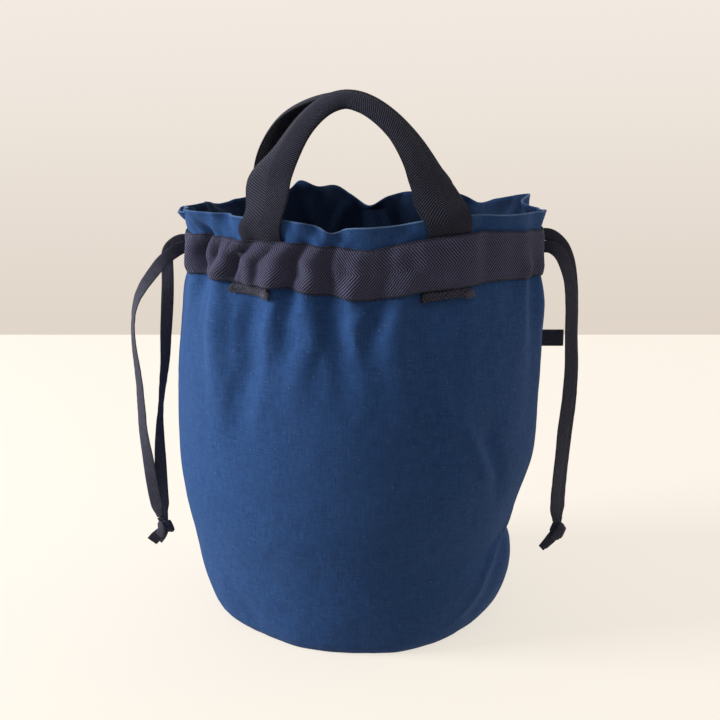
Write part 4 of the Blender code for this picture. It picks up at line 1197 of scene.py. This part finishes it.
def build_base():
    around = 300
    angle = 360.0 * np.arange(around) / around
    edge = wall(angle, np.zeros(around))
    edge[:, 2] = 0.0
    edge = edge - unit(edge) * (0.0030 + GAP)
    radii = np.concatenate([np.linspace(0.04, 0.93, 22), [0.955, 0.965, 0.975, 0.99, 1.0]])
    top, low = [], []
    for r in radii:
        p = edge * r
        wave = 0.00016 * lattice(angle / 360.0, np.full(around, r), 26, 8, 31)
        groove = 0.00040 * math.exp(-((r - 0.965) / 0.008) ** 2)
        q = p.copy(); q[:, 2] = 0.0018 + wave * (r < 0.99) - groove
        top.append(q)
        q = p.copy(); q[:, 2] = 0.0003 * (1 - r) + 0.00035 * math.exp(-((r - 0.965) / 0.008) ** 2)
        low.append(q)
    verts = np.concatenate([np.array(low), np.array(top)[::-1]], 0)
    rows = verts.shape[0]
    faces = grid_faces(rows, around, close_cols=True)
    xy = verts[..., :2]
    xy = np.concatenate([xy, xy[:, :1]], 1)
    quad = np.stack([xy[:-1, :-1], xy[:-1, 1:], xy[1:, 1:], xy[1:, :-1]], 2)
    caps = [tuple(range(around))[::-1], tuple(range((rows - 1) * around, rows * around))]
    # the base's upper face, inside the bag, is marked for painted shade
    inside = np.zeros((rows, around)); inside[rows // 2:] = 1.0
    obj = make_mesh("base_disc", verts, faces, CANVAS, corners=quad.reshape(-1, 2),
                    attrs={"wear_and_highlight": np.zeros((rows, around)), "inside": inside}, extra=caps)
    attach(obj, "root")
    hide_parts("base_panel")
    return obj


# ------------------------------------------------------- herringbone tape
ACROSS = np.array([-1.0, -0.965, -0.90, -0.78, -0.65, -0.52, -0.39, -0.26, -0.13, 0.0,
                   0.13, 0.26, 0.39, 0.52, 0.65, 0.78, 0.90, 0.965, 1.0])


def herringbone(name, surface, length, width, point, thick, material, back_relief=True):
    """A closed strip of herringbone tape. surface(u) gives the middle of the
    tape's thickness at each u along, for every place of ACROSS; point is +1
    where the chevrons point along the tape, -1 where they point back.
    thick(u) is the tape's thickness."""
    reach = SLOPE * width / 2
    per = 7
    first = 0.0 if point > 0 else -reach
    n = int((length + reach) / PITCH * per)
    base = first + np.arange(n + 1) * (length + reach) / n
    phase = base / PITCH
    keep = 0.0004

    def squeeze(x):
        low = keep * (x + reach) / (reach + keep)
        high = length - keep + keep * (x - length + keep) / (reach + keep)
        return np.where(x < keep, low, np.where(x > length - keep, high, x))
    U, T = np.meshgrid(base, ACROSS, indexing="ij")
    x = U - point * SLOPE * np.abs(T) * width / 2
    fade = smooth(0.0, 0.002, x) * smooth(0.0, 0.002, length - x)
    fade = fade * (1.0 - smooth(0.90, 0.965, np.abs(T)))
    u = squeeze(x)
    steps = np.linspace(0.0, length, int(length / 0.0006))
    sheet = surface(steps)
    du, dt = np.gradient(sheet, axis=0), np.gradient(sheet, axis=1)
    up = unit(np.cross(du, dt))
    mid, normal = np.zeros(u.shape + (3,)), np.zeros(u.shape + (3,))
    for k in range(len(ACROSS)):
        for c in range(3):
            mid[:, k, c] = np.interp(u[:, k], steps, sheet[:, k, c])
            normal[:, k, c] = np.interp(u[:, k], steps, up[:, k, c])
    normal = unit(normal)
    ridge = np.abs(np.sin(np.pi * phase))[:, None] ** 0.75
    relief = RELIEF * (ridge - 0.6) * fade
    centre = 0.00010 * np.exp(-(T / 0.02) ** 2)
    edge = 1.0 - 0.35 * smooth(0.94, 1.0, np.abs(T))
    half = thick(u) / 2 * edge
    front = mid + normal * (half + relief - centre)[..., None]
    back = mid - normal * (half + (relief if back_relief else 0.0))[..., None]
    ring = np.concatenate([front, back[:, ::-1]], 1)
    count = ring.shape[1]
    rows = ring.shape[0]
    faces = grid_faces(rows, count, close_cols=True)
    across = np.concatenate([T, T[:, ::-1]], 1) * width / 2
    along = np.concatenate([u, u[:, ::-1]], 1)
    c = np.stack([along, across], -1)
    c = np.concatenate([c, c[:, :1]], 1)
    quad = np.stack([c[:-1, :-1], c[:-1, 1:], c[1:, 1:], c[1:, :-1]], 2)
    caps = [tuple(range(count))[::-1], tuple(range((rows - 1) * count, rows * count))]
    selvedge = smooth(0.88, 0.965, np.abs(np.concatenate([T, T[:, ::-1]], 1)))
    attrs = {"ridge": np.repeat(phase[:, None], count, 1), "selvedge": selvedge}
    obj = make_mesh(name, ring, faces, material, corners=quad.reshape(-1, 2),
                    attrs=attrs, extra=caps)
    return obj


def build_casing(name, node, first, last):
    fine = np.linspace(first, last, 1200)
    line = wall(fine, np.full(fine.shape, 0.234))
    run = ring_run(line)
    length = run[-1]

    def surface(u):
        angle, t = np.meshgrid(np.interp(u, run, fine), ACROSS, indexing="ij")
        z = 0.234 + t * 0.015
        # the tape's edges are pulled about a little by the gathers
        sway = 0.00045 * lattice(angle / 360.0, angle * 0, 52, 1, 21) * np.abs(t)
        sheet = laid(angle, np.clip(z, CASING_LOW, CASING_HIGH),
                         casing_lift(angle, z) + TAPE / 2)
        sheet[..., 2] += sway
        return sheet
    obj = herringbone(name, surface, length, 0.030, 1.0,
                      lambda u: np.full(u.shape, TAPE), HERRINGBONE, back_relief=False)
    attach(obj, "root")
    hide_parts(node)
    return obj


def handle_sections(side):
    """Middle line points across the tape, section after section."""
    k = len(ACROSS)
    t = ACROSS

    def held(leg, z, off):
        narrow = 1.0 - (0.13 if side < 0 else 0.0) * smooth(0.212, 0.250, z)
        corners = leg + (leg_lean(leg, z) if side < 0 else 0.0) + STEP * LEG_HALF * t * narrow
        if side > 0:
            corners = 180.0 - corners
        return laid(corners, np.full(k, z), np.full(k, off))
    rows = HANDLE_FRONT if side < 0 else HANDLE_BACK
    rows = np.array(rows, float)
    keyed = np.concatenate([ring_run(rows[:, :3])[:, None], rows], 1)
    run = keyed[-1, 0]
    legs = []
    for z in np.linspace(0.2136, 0.2182, 5):
        legs.append((z, GAP + 0.0012))
    for z in np.linspace(0.2194, 0.2490, 12):
        legs.append((z, GAP + TAPE / 2))
    for z in (0.2530, 0.2570, 0.2610):
        legs.append((z, GAP + TAPE / 2 + 0.0026 * (z - 0.249) / 0.015))
    sections = [held(LEG_LEFT, z, off) for z, off in legs]
    at = np.linspace(0.0, run, 46)
    line = hermite(keyed, at)
    ahead, behind = hermite(keyed, np.minimum(at + 0.002, run)), hermite(keyed, np.maximum(at - 0.002, 0))
    along = unit((ahead - behind)[:, :3])
    for i in range(len(at)):
        x, y, z, roll, bend = line[i]
        a = along[i]
        facing = np.array((0.0, float(side), 0.0))
        facing = unit(facing - a * facing.dot(a))
        across = np.cross(a, facing)
        if across.dot(np.array((-0.006 - x, 0.0, 0.255 - z))) > 0:
            across = -across
        r = math.radians(roll)
        normal = facing * math.cos(r) + across * math.sin(r)
        width = unit(np.cross(normal, a))
        half = math.radians(bend) / 2
        radius = TAPE_WIDTH / 2 / half
        turn_by = half * t
        # the edges of the tape roll in a little more than its middle
        out = normal[None, :] * np.cos(turn_by)[:, None] + width[None, :] * np.sin(turn_by)[:, None]
        sections.append(np.array((x, y, z)) - normal * radius + out * radius - out * TAPE / 2)
    sections += [held(LEG_RIGHT, z, off) for z, off in reversed(legs)]
    fixed = [sections[0]]
    for s in sections[1:]:
        p = fixed[-1]
        same = np.linalg.norm(s[0] - p[0]) + np.linalg.norm(s[-1] - p[-1])
        flip = np.linalg.norm(s[-1] - p[0]) + np.linalg.norm(s[0] - p[-1])
        fixed.append(s[::-1] if flip < same else s)
    return np.array(fixed)


def build_handle(name, node, side):
    sections = handle_sections(side)
    # smooth the free stretch where it leaves the casing
    n_leg = 20
    for _ in range(3):
        inner = (sections[:-2] + 2 * sections[1:-1] + sections[2:]) / 4
        part = sections.copy()
        part[n_leg - 3:-(n_leg - 3)] = inner[n_leg - 4:-(n_leg - 4)]
        sections = part
    run = ring_run(sections[:, len(ACROSS) // 2])
    length = run[-1]
    table = np.concatenate([run[:, None], sections.reshape(len(run), -1)], 1)

    def surface(u):
        return hermite(table, u).reshape(len(u), len(ACROSS), 3)
    stub = run[4] + 0.0006

    def thick(u):
        near = np.minimum(u, length - u)
        return TAPE + 0.0012 * (1.0 - smooth(stub - 0.0004, stub + 0.0006, near))
    obj = herringbone(name, surface, length, TAPE_WIDTH, -1.0, thick, HANDLE_TAPE)
    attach(obj, "root")
    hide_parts(node)
    return obj, sections, run


def build_run(name, node, first, last, low, high):
    """The hidden stretch of a drawstring, inside the casing."""
    angle = np.linspace(first, last, 260)
    n = len(angle)
    lift = GAP + (TAPE + GAP) * leg_cover(angle)
    rings = np.stack([laid(angle, np.full(n, low), lift + CORD_THICK),
                      laid(angle, np.full(n, high), lift + CORD_THICK),
                      laid(angle, np.full(n, high), lift),
                      laid(angle, np.full(n, low), lift)], 1)
    faces = grid_faces(n, 4, close_cols=True)
    run = ring_run(rings[:, 0])
    v = np.array([0.0, 0.008, 0.009, 0.017, 0.018])
    c = np.stack(np.broadcast_arrays(run[:, None], v[None, :]), -1)
    quad = np.stack([c[:-1, :-1], c[:-1, 1:], c[1:, 1:], c[1:, :-1]], 2)
    caps = [(3, 2, 1, 0), tuple(range((n - 1) * 4, n * 4))]
    obj = make_mesh(name, rings, faces, CORD, corners=quad.reshape(-1, 2), extra=caps)
    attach(obj, "root")
    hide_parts(node)
    return obj


def build_stitches(name, centres, alongs, normals, half_length, half_wide, material, rise=0.00010):
    """Small sewn stitches, joined in one object: each a slightly bowed
    rounded bar that dips into the cloth at both ends."""
    centres, alongs, normals = map(np.asarray, (centres, alongs, normals))
    m = len(centres)
    t = np.linspace(-1, 1, 7)
    side = unit(np.cross(normals, alongs))
    ring = 6
    phi = 2 * np.pi * np.arange(ring) / ring
    size = np.sqrt(np.clip(1.0 - t ** 4, 0.10, 1.0))
    lift = rise - (t ** 2) * rise * 2.2
    half_length = np.broadcast_to(np.asarray(half_length, float), (m,))
    verts = (centres[:, None, None, :]
             + alongs[:, None, None, :] * (t[None, :, None] * half_length[:, None, None])[..., None]
             + normals[:, None, None, :] * lift[None, :, None, None]
             + (side[:, None, None, :] * np.cos(phi)[None, None, :, None]
                + normals[:, None, None, :] * np.sin(phi)[None, None, :, None] * 0.8)
             * (half_wide * size)[None, :, None, None])
    one = grid_faces(len(t), ring, close_cols=True)
    faces = (one[None] + (np.arange(m) * len(t) * ring)[:, None, None]).reshape(-1, 4)
    caps = []
    for i in range(m):
        s = i * len(t) * ring
        caps.append(tuple(range(s, s + ring))[::-1])
        e = s + (len(t) - 1) * ring
        caps.append(tuple(range(e, e + ring)))
    obj = make_mesh(name, verts, faces, material, extra=caps)
    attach(obj, "root")
    return obj


def build_casing_stitches(name, first, last):
    centres, alongs, normals = [], [], []
    for z in (CASING_LOW + 0.0017, CASING_HIGH - 0.0017):
        fine = np.linspace(first + 0.6, last - 0.6, 1500)
        off = casing_lift(fine, np.full(fine.shape, z)) + TAPE
        line = laid(fine, np.full(fine.shape, z), off)
        run = ring_run(line)
        count = int(run[-1] / 0.0031)
        at = (np.arange(count) + 0.5) * run[-1] / count
        p = np.stack([np.interp(at, run, line[:, k]) for k in range(3)], -1)
        q = np.stack([np.interp(at + 0.0005, run, line[:, k]) for k in range(3)], -1)
        a = np.interp(at, run, fine)
        centres.append(p); alongs.append(unit(q - p))
        normals.append(wall_normal(a, np.full(a.shape, z)))
    return build_stitches(name, np.concatenate(centres), np.concatenate(alongs),
                          np.concatenate(normals), 0.00122, 0.00024, THREAD)


def build_end_stitches(name, side):
    """Dense stitches over the folded ends of a handle, bunched at one end."""
    rng = np.random.RandomState(300 + side)
    count = 26
    leg, z, i = np.meshgrid((LEG_LEFT, LEG_RIGHT), (0.2146, 0.2156, 0.2167, 0.2178),
                            np.arange(count), indexing="ij")
    row = np.round((z - 0.2146) / 0.0011)
    leg, z, i, row = leg.ravel(), z.ravel(), i.ravel(), row.ravel()
    m = len(leg)
    t = -0.94 + 1.88 * (i + 0.5) / count + rng.uniform(-0.016, 0.016, m)
    z = z + rng.uniform(-0.00035, 0.00035, m)
    rise = np.full(m, GAP + 0.00245)
    halves = 0.00115 + rng.uniform(-0.0003, 0.0006, m)
    lean = np.where((i + row) % 2 > 0.5, 0.95, -0.95) + rng.uniform(-0.4, 0.4, m)
    # a lump of thread at the end of each row
    lump = 90
    for at, middle in ((LEG_LEFT, 0.86), (LEG_RIGHT, 0.90)):
        turn_to = rng.uniform(0.0, 2 * math.pi, lump)
        far = np.sqrt(rng.uniform(0.0, 1.0, lump))
        leg = np.concatenate([leg, np.full(lump, at)])
        t = np.concatenate([t, middle + 0.20 * far * np.cos(turn_to)])
        z = np.concatenate([z, 0.2146 + 0.0021 * far * np.sin(turn_to)])
        rise = np.concatenate([rise, GAP + 0.0022 + 0.0013 * (1.0 - far ** 2)])
        halves = np.concatenate([halves, rng.uniform(0.0009, 0.0017, lump)])
        lean = np.concatenate([lean, rng.uniform(-1.5, 1.5, lump)])
    middle = leg.copy()
    if side < 0:
        for at in (LEG_LEFT, LEG_RIGHT):
            middle = np.where(leg == at, at + leg_lean(at, z), middle)
    angle = middle + STEP * LEG_HALF * t
    angle = 180.0 - angle if side > 0 else angle
    centres = laid(angle, z, rise)
    normals = wall_normal(angle, z)
    east = unit(np.cross(np.array((0.0, 0.0, 1.0)), normals))
    up = np.cross(normals, east)
    alongs = unit(east * np.cos(lean)[:, None] + up * np.sin(lean)[:, None])
    return build_stitches(name, centres, alongs, normals, halves, 0.00030, THREAD, 0.00022)


def build_tab():
    """Plain folded tab in the right side seam: a short tape doubled over."""
    height = 0.0106
    z0, z1 = 0.1700, 0.1806
    n = 60
    s = np.linspace(0.0, 1.0, n)
    near, far, r = 0.1150, 0.1328, 0.0007
    y_mid = 0.0065
    pts = []
    for i, v in enumerate(s):
        if v < 0.45:
            f = v / 0.45
            pts.append((near + (far - r - near) * f, y_mid - r - 0.0001 + 0.00015 * math.sin(3 * f)))
        elif v > 0.55:
            f = (1 - v) / 0.45
            pts.append((near + (far - r - near) * f, y_mid + r + 0.0001 - 0.00012 * math.sin(3 * f)))
        else:
            a = (v - 0.45) / 0.10 * math.pi - math.pi / 2
            pts.append((far - r + r * math.cos(a), y_mid + r * math.sin(a)))
    pts = np.array(pts)
    along = unit(np.gradient(pts, axis=0))
    out = np.stack([along[:, 1], -along[:, 0]], -1)
    zs = np.linspace(z0, z1, 12)
    half = 0.00040
    rows = []
    for z in zs:
        bow = 0.00020 * math.sin((z - z0) / height * math.pi)
        o = pts + out * (half + bow * 0.3)
        rows.append(np.concatenate([o, np.full((n, 1), z)], 1))
    for z in zs[::-1]:
        i_ = pts - out * half
        rows.append(np.concatenate([i_, np.full((n, 1), z)], 1))
    verts = np.array(rows)
    faces = grid_faces(len(rows), n, close_rows=True)
    run = ring_run(np.concatenate([pts, np.zeros((n, 1))], 1))
    vv = np.concatenate([zs, zs[::-1], zs[:1]]) - z0
    c = np.stack(np.broadcast_arrays(run[None, :], vv[:, None]), -1)
    quad = np.stack([c[:-1, :-1], c[:-1, 1:], c[1:, 1:], c[1:, :-1]], 2)
    rings = len(rows)
    caps = [tuple(i * n for i in range(rings)), tuple(i * n + n - 1 for i in range(rings))[::-1]]
    obj = make_mesh("side_tab_cloth", verts, faces, CORD, corners=quad.reshape(-1, 2), extra=caps)
    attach(obj, "root")
    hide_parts("side_tab")
    return obj


bag = build_bag()
base = build_base()
casing_front = build_casing("casing_front_tape", "channel_tape_front", PHASE - 22 * STEP, PHASE + 21 * STEP)
casing_back = build_casing("casing_back_tape", "channel_tape_back", PHASE + 22 * STEP, PHASE + 67 * STEP)
handle_front = build_handle("handle_front_tape", "handle_front", -1)[0]
handle_back = build_handle("handle_back_tape", "handle_back", 1)[0]
run_left = build_run("drawstring_left_hidden", "drawstring_run_left",
                     PHASE - 22 * STEP, PHASE + 66 * STEP, 0.2262, 0.2342)
run_right = build_run("drawstring_right_hidden", "drawstring_run_right",
                      PHASE + 22 * STEP, PHASE + 110 * STEP, 0.2346, 0.2426)
build_casing_stitches("casing_front_stitches", PHASE - 22 * STEP, PHASE + 21 * STEP)
build_casing_stitches("casing_back_stitches", PHASE + 22 * STEP, PHASE + 67 * STEP)
build_end_stitches("handle_front_stitches", -1)
build_end_stitches("handle_back_stitches", 1)
build_tab()


# ------------------------------------------------------------------ stage
def stage_look(name, low, high, z_low, z_high, glow, own):
    """Plain pale surface, partly lit and partly glowing like an overexposed
    studio backdrop."""
    mat = bpy.data.materials.new(name)
    mat.use_nodes = True
    tree = mat.node_tree
    b = tree.nodes["Principled BSDF"]
    place = tree.nodes.new("ShaderNodeTexCoord")
    split = tree.nodes.new("ShaderNodeSeparateXYZ")
    tree.links.new(place.outputs["Object"], split.inputs[0])
    rng = tree.nodes.new("ShaderNodeMapRange")
    tree.links.new(split.outputs[2], rng.inputs[0])
    rng.inputs[1].default_value = z_low
    rng.inputs[2].default_value = z_high
    rng.interpolation_type = "SMOOTHSTEP"
    mix = tree.nodes.new("ShaderNodeMix")
    mix.data_type = "RGBA"
    tree.links.new(rng.outputs[0], mix.inputs["Factor"])
    mix.inputs[6].default_value = (*low, 1.0)
    mix.inputs[7].default_value = (*high, 1.0)
    tree.links.new(mix.outputs[2], b.inputs["Emission Color"])
    b.inputs["Emission Strength"].default_value = glow
    b.inputs["Base Color"].default_value = (*own, 1.0)
    b.inputs["Roughness"].default_value = 0.9
    b.inputs["Specular IOR Level"].default_value = 0.05
    return mat


def plane(name, corners, material):
    mesh = bpy.data.meshes.new(name)
    mesh.from_pydata(corners, [], [(0, 1, 2, 3)])
    mesh.materials.append(material)
    obj = bpy.data.objects.new(name, mesh)
    SCENE.collection.objects.link(obj)
    return obj


table = plane("table", [(-3, -3, -0.0002), (3, -3, -0.0002), (3, 0.775, -0.0002), (-3, 0.775, -0.0002)],
      stage_look("table_white", (0.90, 0.84, 0.75), (0.90, 0.84, 0.75), 0, 1, 0.80, (0.30, 0.28, 0.26)))
table.visible_diffuse = False
# the wall's glow is painted light: darker low down, brighter towards the top
plane("wall", [(-4, 1.6, -1.2), (4, 1.6, -1.2), (4, 1.6, 2.6), (-4, 1.6, 2.6)],
      stage_look("wall_cream", (0.75, 0.66, 0.57), (0.94, 0.87, 0.80), -0.35, 0.60, 0.93, (0.05, 0.05, 0.05)))


def lamp(name, kind, location, target, energy, colour, size):
    data = bpy.data.lights.new(name, kind)
    data.energy = energy
    data.color = colour
    if kind == "AREA":
        data.shape = "RECTANGLE"
        data.size, data.size_y = size
    obj = bpy.data.objects.new(name, data)
    obj.location = location
    obj.rotation_euler = (Vector(target) - Vector(location)).to_track_quat("-Z", "Y").to_euler()
    SCENE.collection.objects.link(obj)
    return obj


lamp("window", "AREA", (-1.77, -0.26, 0.80), (0.0, 0.0, 0.16), 46.0, (0.95, 0.98, 1.0), (0.8, 0.9))
lamp("far_side", "AREA", (1.5, 0.55, 0.75), (0.0, 0.0, 0.16), 5.0, (1.0, 0.96, 0.90), (1.2, 1.2))
world = bpy.data.worlds.new("room")
world.use_nodes = True
world.node_tree.nodes["Background"].inputs[0].default_value = (1.0, 0.95, 0.90, 1.0)
world.node_tree.nodes["Background"].inputs[1].default_value = 0.34
SCENE.world = world
SCENE.view_settings.view_transform = "Standard"
